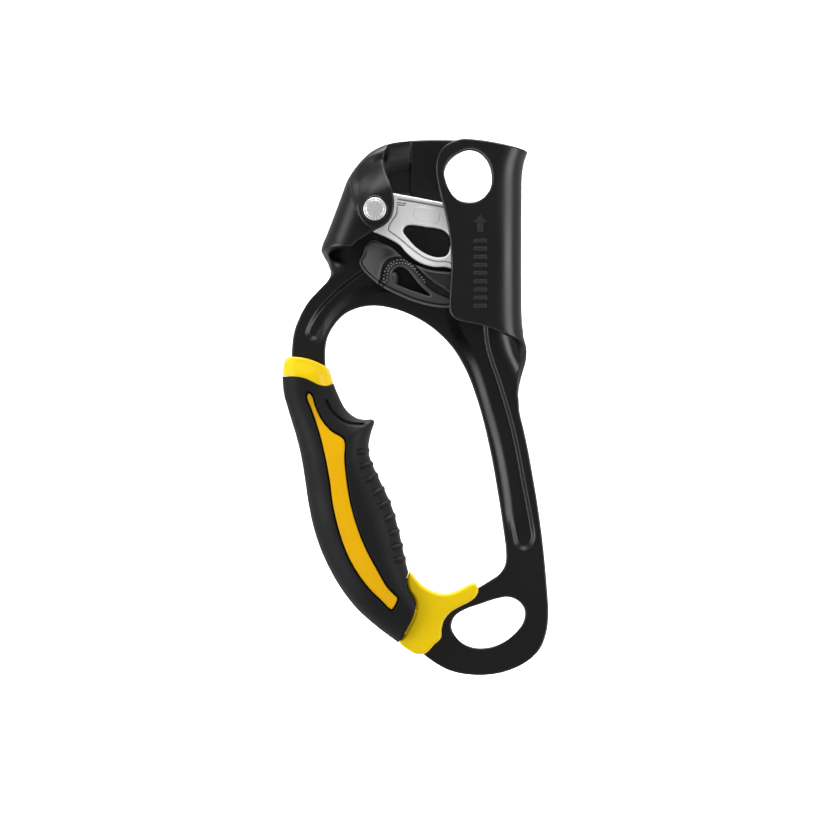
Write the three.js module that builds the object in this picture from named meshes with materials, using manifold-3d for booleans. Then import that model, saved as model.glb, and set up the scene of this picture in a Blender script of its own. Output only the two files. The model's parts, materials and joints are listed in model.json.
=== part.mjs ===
// Handled rope clamp (ascender): one folded sheet frame with a rope channel, two eyes and a hand opening,
// a sprung toothed cam with a thumb trigger, and a two-colour grip moulded round the handle.
// Millimetres. +Z runs up the rope, +X points to the closed side of the channel, the front faces -Y.
// The origin is on the rope axis, level with the cam axle.
import * as THREE from 'three';
import { mergeVertices } from 'three/addons/utils/BufferGeometryUtils.js';
import Module from 'manifold-3d';

const wasm = await Module();
wasm.setup();

// ---------------------------------------------------------------- driving dimensions
const SHEET = 3.2;                               // frame sheet thickness
const CHANNEL_R = 7.2;                           // inner radius of the rope channel
const FOLD_R = CHANNEL_R + SHEET;                // outer radius of the channel and flange folds
const PLATE_FRONT = CHANNEL_R;                   // y of the back plate's front face
const PLATE_BACK = FOLD_R;                       // y of the back plate's rear face
const FLAP_FRONT = -FOLD_R;                      // y of the channel flap's front face
const EAR_FRONT = FLAP_FRONT - SHEET;            // y of the front face of the ear, which laps the flange
const GROOVE_DEPTH = 1.2;                        // pressed grooves in both arms
const GAP = 0.3;                                 // between pieces that touch
const RUN = 0.15;                                // radial clearance of turning pieces

const AXLE = { x: -42.85, z: 0 };                // cam axle, parallel to Y
const AXLE_R = 2.6;
const AXLE_HEAD_R = 4.15;
const AXLE_HEAD = 1.6;
const SLEEVE_R = 3.8;
const HUB_R = 7.2;
const WASHER = { inner: SLEEVE_R + GAP, outer: 5.8, thick: 0.6 };
const CAM_HALF = 5.5;                            // half thickness of the cam and the trigger
const SPRING = { mean: 5.5, wire: 0.5, turns: 3, from: 1.5, to: 4.8 };
const SPRING_WELL = { inner: 4.7, outer: 6.3, floor: 0.6 };

const FACE = { reach: 48.4, slope: 0.36, first: 3, last: 26 };   // toothed face: logarithmic spiral, degrees
const TOOTH = { height: 1.1, sunk: 0.5, base: 0.8, tip: 0.12, lean: 0.6, rows: 8, columns: 4, pitch: 2.2 };

const PIN = { x: -10.9, z: -26.7 };              // trigger pin, carried by the cam's lug
const PIN_R = 1.6;
const BOSS_R = 4.2;
const LUG_HALF = 1.6;
const SLOT_HALF = 3.6;
const PIN_SPRING = { mean: 2.5, wire: 0.22, turns: 2, from: 1.97, to: 3.23 };

const GRIP_Y = (PLATE_FRONT + PLATE_BACK) / 2;   // mid-plane of the handle
const GRIP_HALF = 14;                            // half thickness of the rubber
const GRIP_TOP = -61.7;
const GRIP_DROP = 89;                            // from the collar to the bracket
const RUBBER_WALL = 2.6;
const INLAY = { thick: 1.4, proud: -0.4 };
const BRACKET_HALF = 6.4;

// ---------------------------------------------------------------- outlines, as [x, z]
const TOP_EDGE = [[12.7, 21.2], [3.6, 23.7], [-5.1, 25.2], [-13.8, 25.8], [-22.9, 25.9], [-30.9, 25.6]];
const SHOULDER = [
  [-53.0, 10.7], [-50.8, 14.3], [-47.9, 17.9], [-44.3, 21.2], [-39.6, 23.6], [-35.0, 24.7], [-30.6, 25.2],
];
// Folds: [x, z, wrap], the outermost line of the fold and how far the sheet turns there, in degrees.
const FLANGE_INWARD = [0.936, -0.352];
const FLANGE_EDGE = [
  [-59.3, -23.4, 10], [-59.8, -20.9, 30], [-60.8, -18.6, 52], [-62.0, -16.4, 80], [-62.4, -14.6, 108],
  [-61.6, -11.6, 150], [-60.6, -9.4, 180], [-53.0, 10.7, 180],
];
const CHANNEL_EDGE = [
  [14.6, 27.0, 180], [12.7, 21.2, 180], [11.4, 17.6, 180], [10.6, 12.9, 180], [10.4, 4.0, 180],
  [10.4, -36.2, 180], [10.6, -41.0, 180], [10.9, -43.6, 178], [11.1, -45.6, 150], [11.5, -47.4, 118],
  [12.5, -51.4, 78], [12.3, -55.4, 51], [11.1, -59.4, 29], [10.0, -63.4, 14], [9.4, -67.6, 5],
];
const RIGHT_EDGE = [
  [9.4, -68.1], [9.8, -73.2], [11.3, -79.7], [13.1, -88.1], [15.1, -99.3], [16.9, -110.6], [18.5, -123.3],
  [19.8, -137.8], [20.3, -146.2], [19.6, -153.4], [17.4, -159.3], [13.1, -163.8], [6.9, -167.1],
  [1.1, -168.7], [-5.4, -169.2], [-12.0, -168.5], [-17.1, -166.9], [-21.8, -164.2], [-27.2, -160.0],
];
const LEFT_EDGE = [
  [-34.5, -152.7], [-41.8, -143.6], [-48.3, -134.2], [-53.4, -125.1], [-57.4, -115.3], [-60.3, -105.2],
  [-62.8, -94.3], [-65.7, -83.4], [-69.0, -74.3], [-71.9, -65.9], [-73.3, -58.0], [-73.3, -52.5],
  [-72.6, -44.9], [-70.4, -38.7], [-67.2, -33.1], [-63.2, -28.7], [-60.6, -26.0],
];
const HAND_OPENING = [
  [-60.6, -58.7], [-61.0, -51.4], [-60.3, -46.7], [-58.1, -42.2], [-54.1, -37.8], [-49.0, -35.4],
  [-42.8, -34.6], [-35.6, -35.8], [-28.3, -38.7], [-21.4, -43.1], [-14.9, -49.6], [-9.8, -58.1],
  [-5.8, -68.5], [-2.7, -79.7], [0.0, -92.4], [2.2, -105.2], [3.8, -116.0], [4.8, -124.4], [4.5, -128.8],
  [2.5, -132.2], [-1.1, -134.7], [-6.9, -138.2], [-12.7, -141.5], [-19.2, -142.6], [-25.1, -140.4],
  [-30.1, -135.3], [-35.9, -126.9], [-40.7, -117.9], [-44.7, -107.0], [-47.6, -96.1], [-51.2, -85.2],
  [-55.6, -74.3], [-59.2, -65.2],
];
const LOWER_EYE = [
  [-15.0, -152.0], [-14.0, -148.0], [-10.5, -145.4], [-4.7, -143.3], [1.8, -141.2], [5.8, -140.7],
  [9.4, -142.2], [11.6, -145.5], [11.1, -149.8], [8.0, -154.0], [3.3, -157.4], [-1.8, -159.1],
  [-7.3, -159.0], [-12.0, -156.7],
];
const UPPER_EYE = [
  [-8.9, 22.0], [-12.8, 20.6], [-16.2, 17.5], [-17.7, 13.6], [-17.0, 9.7], [-15.1, 5.7], [-12.8, 3.5],
  [-9.6, 2.6], [-6.1, 2.9], [-3.1, 4.7], [-1.1, 7.7], [-0.4, 11.3], [-0.9, 15.2], [-2.4, 18.5], [-5.2, 21.2],
];
const FLAP_EDGE = [
  [-12.9, 25.8], [-14.8, 24.4], [-17.3, 22.2], [-19.8, 18.8], [-20.9, 15.0], [-20.7, 11.8], [-19.0, 4.6],
  [-17.6, -0.9], [-16.3, -7.5], [-15.5, -14.4], [-15.3, -20.9], [-15.7, -27.8], [-16.0, -34.0],
  [-15.8, -36.9], [-14.3, -39.1], [-11.6, -40.3], [-4.7, -41.8], [0.4, -43.4],
];
const EAR_OUTLINE = [
  [-56.0, 12.5], [-52.6, 11.0], [-51.4, 6.3], [-50.1, 1.8], [-48.7, -2.2], [-46.5, -5.3], [-43.0, -7.3],
  [-40.3, -6.4], [-37.6, -4.2], [-36.2, -1.1], [-35.9, 3.4], [-36.6, 8.5], [-38.3, 14.3], [-39.3, 18.6],
  [-38.4, 22.4], [-34.6, 25.4], [-45.0, 32.0],
];
const FLANGE_BOTTOM = [[-47.0, -10.0], [-43.0, -7.4], [-38.4, -4.6], [-37.6, 4.0], [-40.0, 10.0]];
const GROOVE_RIGHT = [
  [-2.2, -43.1], [-1.1, -50.7], [3.4, -64.3], [8.0, -80.6], [11.6, -98.8], [14.5, -114.2], [15.1, -119.0],
  [13.8, -122.0], [11.2, -123.3], [8.7, -121.9], [7.6, -118.2], [5.8, -103.3], [2.9, -87.0],
  [-1.5, -70.7], [-5.8, -57.0], [-10.2, -48.0], [-13.5, -42.0], [-8.0, -40.5],
];
const GROOVE_LEFT = [
  [-49.0, -22.9], [-53.7, -26.3], [-59.2, -31.2], [-64.3, -36.9], [-67.5, -42.7], [-67.9, -44.9],
  [-66.4, -46.7], [-64.3, -46.3], [-62.5, -43.4], [-59.2, -38.0], [-54.5, -32.9], [-49.0, -29.4],
  [-41.8, -27.3], [-42.5, -22.5],
];
const CAM_TOP = [[-40.2, 7.4], [-35.9, 6.0], [-18.9, 2.7], [-6.0, 0.2]];
const CAM_BOTTOM = [
  [1.0, -24.2], [-4.6, -24.4], [-16.7, -20.8], [-21.4, -20.7], [-25.8, -19.5], [-29.4, -17.3],
  [-32.0, -14.9], [-33.8, -12.8], [-38.9, -9.8], [-43.4, -7.9],
];
const CAM_WINDOW = [
  [-32.7, -7.8], [-32.1, -6.2], [-30.5, -5.4], [-24.7, -6.0], [-18.2, -7.2], [-16.0, -9.3],
  [-15.8, -14.4], [-17.1, -16.7], [-20.7, -17.2], [-24.3, -16.0], [-27.6, -13.9], [-30.5, -10.9],
];
const TRIGGER_TOP = [
  [-45.2, -11.9], [-44.1, -10.8], [-39.9, -12.2], [-36.4, -13.9], [-33.7, -16.4], [-31.1, -18.6],
  [-28.4, -19.9], [-25.3, -21.0], [-21.8, -21.9], [-16.3, -22.4],
];
const TRIGGER_BOTTOM = [
  [-12.0, -33.4], [-16.3, -35.4], [-22.2, -34.9], [-26.7, -33.8], [-31.1, -32.3], [-35.5, -30.3],
  [-39.9, -28.1], [-44.3, -24.8], [-47.4, -21.6], [-48.7, -18.7], [-47.3, -16.0],
];
const TRIGGER_HOLE = [
  [-36.8, -24.0], [-36.1, -21.9], [-33.9, -20.7], [-31.6, -21.5], [-29.4, -23.8], [-26.5, -27.5],
  [-22.7, -31.2], [-28.3, -29.6], [-32.7, -28.0], [-35.8, -26.4],
];
// The grip's two sides, paired from the collar down to the bracket.
const GRIP_SIDES = [
  [[-76.7, -60.8], [-57.9, -62.6]], [[-76.2, -66.5], [-56.2, -67.2]], [[-75.0, -71.0], [-53.6, -72.2]],
  [[-74.2, -73.6], [-49.6, -75.5]], [[-73.4, -76.4], [-43.0, -77.0]], [[-71.9, -81.2], [-44.3, -81.5]],
  [[-69.9, -89.2], [-45.1, -88.5]], [[-68.4, -98.3], [-41.2, -98.0]], [[-67.0, -107.7], [-37.0, -107.0]],
  [[-64.6, -117.9], [-34.1, -117.0]], [[-61.0, -127.3], [-31.9, -127.0]],
  [[-55.6, -137.1], [-30.6, -133.4]], [[-49.4, -145.1], [-30.0, -137.6]],
  [[-42.1, -151.6], [-28.6, -141.5]], [[-34.6, -157.2], [-28.0, -144.6]],
];
// The core runs on under the collar and into the bracket.
const CORE_SIDES = [[[-74.9, -57.0], [-59.4, -59.2]], ...GRIP_SIDES, [[-30.6, -159.2], [-24.0, -146.6]]];
const COLLAR_SIDES = [
  [[-74.6, -53.4], [-59.6, -57.3]], [[-75.6, -55.0], [-59.0, -58.4]], [[-76.4, -57.6], [-58.3, -60.2]],
  [[-76.7, -60.5], [-57.9, -62.3]],
];
const COLLAR_HALF = [8.6, 9.6, 10.2, 10.4];
const BRACKET = [
  [-30.1, -131.4], [-31.3, -134.4], [-30.6, -138.1], [-28.7, -141.1], [-28.0, -144.0], [-28.7, -147.3],
  [-31.3, -152.6], [-33.9, -157.1], [-30.6, -160.0], [-27.6, -161.4], [-24.3, -160.9], [-21.7, -158.2],
  [-18.9, -155.4], [-18.7, -152.4], [-17.8, -149.1], [-15.6, -146.2], [-12.0, -144.0], [-8.4, -142.2],
  [-6.1, -140.2], [-5.3, -137.5], [-6.7, -135.5], [-8.7, -136.1], [-12.7, -138.2], [-17.1, -139.4],
  [-21.7, -138.6], [-25.8, -136.2],
];
const STRIP = [
  [-67.0, -65.8], [-68.1, -67.6], [-66.2, -72.9], [-63.9, -79.7], [-61.7, -88.1], [-59.8, -98.1],
  [-58.6, -107.0], [-56.5, -116.0], [-53.6, -124.4], [-49.7, -131.7], [-45.4, -137.5], [-40.3, -142.6],
  [-36.7, -145.3], [-34.1, -141.5], [-38.0, -136.6], [-41.8, -130.0], [-45.4, -123.3], [-48.4, -116.0],
  [-50.8, -108.1], [-52.4, -99.6], [-53.4, -90.6], [-53.6, -83.2], [-58.5, -79.7], [-61.7, -75.9],
  [-63.9, -71.4], [-65.4, -67.0],
];

// ---------------------------------------------------------------- curves and solids
const radians = THREE.MathUtils.degToRad;
const flatPoint = ([x, z]) => new THREE.Vector3(x, z, 0);

// Points along a smooth curve through the given ones; per is the number of steps between two points.
function smooth(points, per = 2, closed = false) {
  const curve = new THREE.CatmullRomCurve3(points.map(flatPoint), closed, 'centripetal');
  const steps = per * (closed ? points.length : points.length - 1);
  const sampled = [];
  for (let i = 0; i < steps + (closed ? 0 : 1); i++) {
    const point = curve.getPoint(i / steps);
    sampled.push([point.x, point.y]);
  }
  return sampled;
}

// Points of an arc about a centre, angles in degrees from +X towards +Z.
function arc(centre, radius, from, to, steps) {
  return Array.from({ length: steps + 1 }, (_, i) => {
    const angle = radians(from + (to - from) * i / steps);
    return [centre.x + radius * Math.cos(angle), centre.z + radius * Math.sin(angle)];
  });
}

const circle = (centre, radius, steps = 32) => arc(centre, radius, 0, 360, steps).slice(0, -1);

// A closed outline moved outwards (or inwards, if negative) by a distance.
function grow(outline, distance) {
  const count = outline.length;
  const area = outline.reduce((sum, [x, z], i) => {
    const [nx, nz] = outline[(i + 1) % count];
    return sum + x * nz - nx * z;
  }, 0);
  const side = Math.sign(area);
  return outline.map(([x, z], i) => {
    const [px, pz] = outline[(i + count - 1) % count];
    const [nx, nz] = outline[(i + 1) % count];
    const normal = new THREE.Vector2(nz - pz, px - nx).normalize().multiplyScalar(side * distance);
    return [x + normal.x, z + normal.y];
  });
}

function toManifold(geometry) {
  const bare = geometry.index ? geometry : geometry.clone();
  bare.deleteAttribute('normal');
  bare.deleteAttribute('uv');
  const merged = mergeVertices(bare, 1e-4);
  return new wasm.Manifold(new wasm.Mesh({
    numProp: 3,
    vertProperties: new Float32Array(merged.attributes.position.array),
    triVerts: new Uint32Array(merged.index.array),
  }));
}

// A plate with the given outline in XZ, from one y to a higher one.
function slab(outline, low, high) {
  const shape = new THREE.Shape(outline.map(([x, z]) => new THREE.Vector2(x, z)));
  const geometry = new THREE.ExtrudeGeometry(shape, { depth: high - low, bevelEnabled: false });
  geometry.rotateX(Math.PI / 2).translate(0, high, 0);
  return toManifold(geometry);
}

// A prism with the given outline in XY, from one z to a higher one.
function column(outline, low, high) {
  const shape = new THREE.Shape(outline.map(([x, y]) => new THREE.Vector2(x, y)));
  const geometry = new THREE.ExtrudeGeometry(shape, { depth: high - low, bevelEnabled: false });
  return toManifold(geometry.translate(0, 0, low));
}

// A closed skin over a run of rings of [x, y, z] points, each ring with the same number of points.
function loft(rings) {
  const size = rings[0].length;
  const index = [];
  for (let r = 0; r < rings.length - 1; r++) {
    for (let i = 0; i < size; i++) {
      const a = r * size + i;
      const b = r * size + (i + 1) % size;
      index.push(a, b, b + size, a, b + size, a + size);
    }
  }
  const positions = rings.flat(2);
  cap(rings[0], 0, false, index);
  cap(rings[rings.length - 1], (rings.length - 1) * size, true, index);
  const geometry = new THREE.BufferGeometry();
  geometry.setAttribute('position', new THREE.Float32BufferAttribute(positions, 3));
  geometry.setIndex(index);
  const solid = toManifold(geometry);
  return solid.volume() < 0 ? toManifold(reversed(geometry)) : solid;
}

// Triangles that close one end ring of a loft.
function cap(ring, offset, forward, index) {
  const centre = new THREE.Vector3();
  ring.forEach((point) => centre.add(new THREE.Vector3(...point).divideScalar(ring.length)));
  const along = new THREE.Vector3(...ring[Math.floor(ring.length / 3)]).sub(new THREE.Vector3(...ring[0]));
  const normal = ringNormal(ring);
  const u = along.addScaledVector(normal, -along.dot(normal)).normalize();
  const v = new THREE.Vector3().crossVectors(normal, u);
  const flat = ring.map((point) => {
    const arm = new THREE.Vector3(...point).sub(centre);
    return new THREE.Vector2(arm.dot(u), arm.dot(v));
  });
  for (const [a, b, c] of THREE.ShapeUtils.triangulateShape(flat, [])) {
    index.push(offset + a, offset + (forward ? b : c), offset + (forward ? c : b));
  }
}

function ringNormal(ring) {
  const normal = new THREE.Vector3();
  ring.forEach((point, i) => {
    normal.add(new THREE.Vector3().crossVectors(
      new THREE.Vector3(...point), new THREE.Vector3(...ring[(i + 1) % ring.length])));
  });
  return normal.normalize();
}

function reversed(geometry) {
  const index = Array.from(geometry.index.array);
  for (let i = 0; i < index.length; i += 3) {
    [index[i + 1], index[i + 2]] = [index[i + 2], index[i + 1]];
  }
  geometry.setIndex(index);
  return geometry;
}

const join = (solids) => solids.reduce((whole, solid) => whole.add(solid));
const cut = (solid, tools) => tools.reduce((rest, tool) => rest.subtract(tool), solid);

// A turned piece on an axis parallel to Y, its profile given as [radius, y] round a closed loop.
function turned(centre, profile, segments = 24) {
  const points = profile.concat([profile[0]]).map(([r, y]) => new THREE.Vector2(r, y));
  return toManifold(new THREE.LatheGeometry(points, segments).translate(centre.x, 0, centre.z));
}

class Helix extends THREE.Curve {
  constructor(centre, mean, turns, from, to) {
    super();
    Object.assign(this, { centre, mean, turns, from, to });
  }

  getPoint(t, target = new THREE.Vector3()) {
    const angle = t * this.turns * Math.PI * 2;
    return target.set(
      this.centre.x + this.mean * Math.cos(angle),
      this.from + (this.to - this.from) * t,
      this.centre.z + this.mean * Math.sin(angle));
  }
}

function coil(centre, { mean, wire, turns, from, to }) {
  const section = new THREE.Shape();
  section.absarc(0, 0, wire, 0, Math.PI * 2, false);
  const extrudePath = new Helix(centre, mean, turns, from, to);
  const options = { steps: turns * 12, curveSegments: 3, bevelEnabled: false, extrudePath };
  return toManifold(new THREE.ExtrudeGeometry(section, options));
}

// ---------------------------------------------------------------- the folded frame
// A fold is given as stops along its outermost line: [x, z, inward x, inward z, wrap], where wrap is how far
// the sheet turns forwards from the back plate, in degrees.
const foldReach = (wrap) => FOLD_R * Math.sin(radians(Math.min(wrap, 90)));

// The line where the fold leaves the flat plate, moved into the fold by an overlap.
function foldLine(stops, overlap = 0.4) {
  return stops.map(([x, z, inX, inZ, wrap]) => {
    const reach = foldReach(wrap) - overlap;
    return [x + inX * reach, z + inZ * reach];
  });
}

// The folded sheet along its stops. The front half reaches forwards to frontY, its outer face.
function fold(stops, frontY, steps = 10) {
  const start = foldLine(stops, 0);
  const rings = stops.map(([, , inX, inZ, wrap], i) => {
    const side = (drawn, turn) => {
      const reach = (FOLD_R - drawn) * Math.sin(turn);
      const depth = turn < Math.PI / 2 ? FOLD_R - drawn : -frontY - drawn;
      return [start[i][0] - inX * reach, depth * Math.cos(turn), start[i][1] - inZ * reach];
    };
    const turns = Array.from({ length: steps + 1 }, (_, j) => radians(wrap * j / steps));
    const outer = turns.map((turn) => side(0, turn));
    const inner = turns.map((turn) => side(SHEET, turn)).reverse();
    return outer.concat(inner);
  });
  return loft(rings);
}

// Stops of a full fold along a path whose sheet lies to its right.
function stopsAlong(path) {
  return path.map(([x, z], i) => {
    const [ax, az] = path[Math.max(i - 1, 0)];
    const [bx, bz] = path[Math.min(i + 1, path.length - 1)];
    const run = Math.hypot(bx - ax, bz - az);
    return [x, z, (bz - az) / run, -(bx - ax) / run, 180];
  });
}

const CHANNEL_STOPS = CHANNEL_EDGE.map(([x, z, wrap]) => [x, z, -1, 0, wrap]);
const FLANGE_STOPS = FLANGE_EDGE.map(([x, z, wrap]) => [x, z, ...FLANGE_INWARD, wrap]);
const SHOULDER_STOPS = stopsAlong(smooth(SHOULDER, 3));
const isClosed = ([, , , , wrap]) => wrap > 170;

function backPlate() {
  const outline = [
    [-31.0, 27.0], ...foldLine(CHANNEL_STOPS), ...smooth(RIGHT_EDGE.concat(LEFT_EDGE), 2),
    ...foldLine(FLANGE_STOPS.slice(0, -1)), ...foldLine(SHOULDER_STOPS.slice(0, -1)),
  ];
  return cut(slab(outline, PLATE_FRONT, PLATE_BACK), [
    slab(smooth(HAND_OPENING, 2, true), 0, 20),
    slab(smooth(LOWER_EYE, 2, true), 0, 20),
    slab(smooth(GROOVE_RIGHT, 1, true), 0, PLATE_FRONT + GROOVE_DEPTH),
    slab(smooth(GROOVE_LEFT, 1, true), 0, PLATE_FRONT + GROOVE_DEPTH),
  ]);
}

function frontFlap() {
  const channelLine = foldLine(CHANNEL_STOPS.filter(isClosed));
  const outline = [...smooth(FLAP_EDGE, 2), ...channelLine.reverse(), [-12.9, 27.0]];
  return slab(outline, FLAP_FRONT, FLAP_FRONT + SHEET);
}

function frontFlange() {
  const flangeLine = foldLine(FLANGE_STOPS.filter(isClosed));
  return slab([...FLANGE_BOTTOM, ...flangeLine.reverse()], FLAP_FRONT, FLAP_FRONT + SHEET);
}

// The ear folds over the shoulder and laps the front of the flange; its own outline trims its front half.
function ear() {
  const [start, next] = SHOULDER;
  const straight = [3, 1.5].map((back) => start.map((value, i) => value - back * (next[i] - value)));
  const stops = stopsAlong([...straight, ...smooth(SHOULDER, 3)]);
  const flat = slab([...foldLine(stops), [-30.0, -9.0], [-56.0, -9.0]], EAR_FRONT, EAR_FRONT + SHEET);
  const frontHalf = slab(EAR_OUTLINE, -20, 0);
  const backHalf = slab([[-54.5, 11.6], [-43.2, 4.7], [-30.6, 4.7], [-30.6, 30], [-60, 30]], 0, 20);
  return fold(stops, EAR_FRONT).add(flat).intersect(frontHalf.add(backHalf));
}

function framePlate() {
  const underTopEdge = slab([
    ...smooth(TOP_EDGE, 2), [-60, 30], [-90, 0], [-90, -180], [40, -180], [40, 13.7],
  ], -20, 20);
  const folded = join([
    backPlate(), fold(CHANNEL_STOPS, FLAP_FRONT), fold(FLANGE_STOPS, FLAP_FRONT), ear(),
    frontFlap(), frontFlange(),
  ]);
  return cut(folded.intersect(underTopEdge), [
    slab(smooth(UPPER_EYE, 2, true), -20, 20),
    slab(circle(AXLE, AXLE_R + GAP), -20, 20),
  ]);
}

// ---------------------------------------------------------------- the axle stack
function camAxle() {
  const front = EAR_FRONT - GAP;
  const back = PLATE_BACK + WASHER.thick + 2 * GAP;
  const dome = AXLE_HEAD * 0.55;
  const tail = AXLE_HEAD * 0.7;
  return turned(AXLE, [
    [0, front - AXLE_HEAD], [AXLE_HEAD_R * 0.62, front - AXLE_HEAD], [AXLE_HEAD_R, front - AXLE_HEAD + dome],
    [AXLE_HEAD_R, front], [AXLE_R, front], [AXLE_R, back], [AXLE_HEAD_R, back],
    [AXLE_HEAD_R * 0.8, back + tail], [0, back + tail],
  ]);
}

function ring(centre, inner, outer, low, high) {
  return turned(centre, [[inner, low], [outer, low], [outer, high], [inner, high]]);
}

const axleSleeve = () => ring(AXLE, AXLE_R + GAP, SLEEVE_R, -CHANNEL_R + GAP, CHANNEL_R - GAP);
const frontWasher = () => ring(
  AXLE, WASHER.inner, WASHER.outer, -CAM_HALF - GAP - WASHER.thick, -CAM_HALF - GAP);
const rearWasher = () => ring(
  AXLE, WASHER.inner, WASHER.outer, CAM_HALF + GAP, CAM_HALF + GAP + WASHER.thick);
const headWasher = () => ring(
  AXLE, AXLE_R + GAP, WASHER.outer, PLATE_BACK + GAP, PLATE_BACK + GAP + WASHER.thick);

// ---------------------------------------------------------------- the cam
// Distance from the axle to the toothed face, at an angle below the horizontal in degrees.
function faceRadius(angle) {
  const peak = Math.atan(FACE.slope);
  return FACE.reach * Math.exp(FACE.slope * (radians(angle) - peak));
}

function facePoint(angle, sunk = 0) {
  const radius = faceRadius(angle) - sunk;
  return [AXLE.x + radius * Math.cos(radians(angle)), AXLE.z - radius * Math.sin(radians(angle))];
}

function faceLine(steps) {
  const step = (FACE.last - FACE.first) / steps;
  return Array.from({ length: steps + 1 }, (_, i) => facePoint(FACE.first + step * i));
}

// One four-sided tooth with its base sunk into the face. It points away from the axle and leans downwards.
function tooth(angle, y) {
  const [baseX, baseZ] = facePoint(angle, TOOTH.sunk);
  const [outX, outZ] = [Math.cos(radians(-angle)), Math.sin(radians(-angle))];
  const square = (half, lift, lean) => [[1, 1], [-1, 1], [-1, -1], [1, -1]].map(([i, j]) => {
    const along = i * half - lean;
    return [baseX + lift * outX - along * outZ, y + j * half, baseZ + lift * outZ + along * outX];
  });
  return loft([square(TOOTH.base, 0, 0), square(TOOTH.tip, TOOTH.sunk + TOOTH.height, TOOTH.lean)]);
}

function teeth() {
  const step = (FACE.last - FACE.first) / TOOTH.rows;
  const solids = [];
  for (let row = 0; row < TOOTH.rows; row++) {
    const count = TOOTH.columns - row % 2;
    for (let i = 0; i < count; i++) {
      solids.push(tooth(FACE.first + step * (row + 0.5), (i - (count - 1) / 2) * TOOTH.pitch));
    }
  }
  return join(solids);
}

function cam() {
  const hub = arc(AXLE, HUB_R, 262, 70, 20);
  const outline = [...hub, ...CAM_TOP, ...faceLine(10), ...CAM_BOTTOM];
  const noseR = CHANNEL_R - 0.7;
  const nose = [[-60, -CAM_HALF], [0, -CAM_HALF]].concat(
    Array.from({ length: 13 }, (_, i) => radians(-63 + 126 * i / 12)).map(
      (turn) => [noseR * Math.cos(turn), noseR * Math.sin(turn)]), [[0, CAM_HALF], [-60, CAM_HALF]]);
  const blank = slab(outline, -CAM_HALF, CAM_HALF).intersect(column(nose, -40, 20));
  const lugOutline = [...arc(PIN, BOSS_R - 0.6, 180, 360, 14), [-5.8, -22.6], [-15.0, -20.4]];
  const lug = slab(lugOutline, -LUG_HALF, LUG_HALF);
  const bite = slab(circle(PIN, BOSS_R + 0.5), -CAM_HALF - 1, CAM_HALF + 1);
  return cut(blank.subtract(bite).add(lug).add(teeth()), [
    slab(circle(AXLE, SLEEVE_R + RUN), -10, 10),
    slab(circle(PIN, PIN_R + RUN, 24), -10, 10),
    slab(smooth(CAM_WINDOW, 2, true), -10, 10),
    ring(AXLE, SPRING_WELL.inner, SPRING_WELL.outer, SPRING_WELL.floor, CAM_HALF + 1),
  ]);
}

// ---------------------------------------------------------------- the trigger
function trigger() {
  const boss = arc(PIN, BOSS_R, 120, -70, 14);
  const outline = [...smooth(TRIGGER_TOP, 2), ...boss, ...smooth(TRIGGER_BOTTOM, 2)];
  const slot = [[-17.4, -15], [-2, -15], [-2, -45], [-17.4, -45]];
  // The thumb end is tapered so that it clears the flange's fold when the cam is held open.
  const taper = [
    [-50, 1.2], [-39.5, CAM_HALF], [0, CAM_HALF], [0, -CAM_HALF], [-39.5, -CAM_HALF], [-50, -1.2],
  ];
  return cut(slab(outline, -CAM_HALF, CAM_HALF).intersect(column(taper, -50, 0)), [
    slab(smooth(TRIGGER_HOLE, 2, true), -10, 10),
    slab(slot, -SLOT_HALF, SLOT_HALF),
    slab(circle(PIN, PIN_R + RUN, 24), -10, 10),
  ]);
}

const triggerPin = () => turned(PIN, [[0, -CAM_HALF], [PIN_R, -CAM_HALF], [PIN_R, CAM_HALF], [0, CAM_HALF]]);

// ---------------------------------------------------------------- the grip
// One rounded section of the grip between its two sides, drawn in by a distance.
function gripSection([[lx, lz], [rx, rz]], half, drawn) {
  const width = Math.hypot(rx - lx, rz - lz);
  const [ux, uz] = [(rx - lx) / width, (rz - lz) / width];
  const power = 2 / 2.6;
  const count = 20;
  return Array.from({ length: count }, (_, i) => {
    const angle = Math.PI * 2 * i / count;
    const across = (width / 2 - drawn) * Math.sign(Math.cos(angle)) * Math.abs(Math.cos(angle)) ** power;
    const depth = (half - drawn) * Math.sign(Math.sin(angle)) * Math.abs(Math.sin(angle)) ** power;
    return [(lx + rx) / 2 + ux * across, GRIP_Y + depth, (lz + rz) / 2 + uz * across];
  });
}

// Half thickness of the grip at a height: slim at the collar and the foot.
function gripHalf(z) {
  const share = THREE.MathUtils.clamp((GRIP_TOP - z) / GRIP_DROP, 0, 1);
  return GRIP_HALF - 3.6 * Math.exp(-((share / 0.16) ** 2)) - 4.2 * Math.max(0, (share - 0.72) / 0.28) ** 1.5;
}

function gripBody(drawn, sides = GRIP_SIDES) {
  const middle = ([left, right]) => (left[1] + right[1]) / 2;
  return loft(sides.map((pair) => gripSection(pair, gripHalf(middle(pair)), drawn)));
}

function handleClearance() {
  const arm = smooth(RIGHT_EDGE.concat(LEFT_EDGE), 2).concat([[-40, -22], [0, -40]]);
  const low = PLATE_FRONT - GAP;
  const high = PLATE_BACK + GAP;
  const opening = slab(grow(smooth(HAND_OPENING, 2, true), -GAP), low - 1, high + 1);
  return slab(grow(arm, GAP), low, high).subtract(opening);
}

function gripCore() {
  const collar = loft(COLLAR_SIDES.map((pair, i) => gripSection(pair, COLLAR_HALF[i], 0)));
  const foot = slab(smooth(BRACKET, 2, true), GRIP_Y - BRACKET_HALF, GRIP_Y + BRACKET_HALF);
  const inside = gripBody(RUBBER_WALL, CORE_SIDES);
  return join([collar, inside, foot]).subtract(handleClearance());
}

function inlayRecess(side) {
  const [low, high] = side < 0 ? [-30, GRIP_Y] : [GRIP_Y, 50];
  return slab(smooth(STRIP, 1, true), low, high).subtract(gripBody(INLAY.thick + GAP - INLAY.proud));
}

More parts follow.
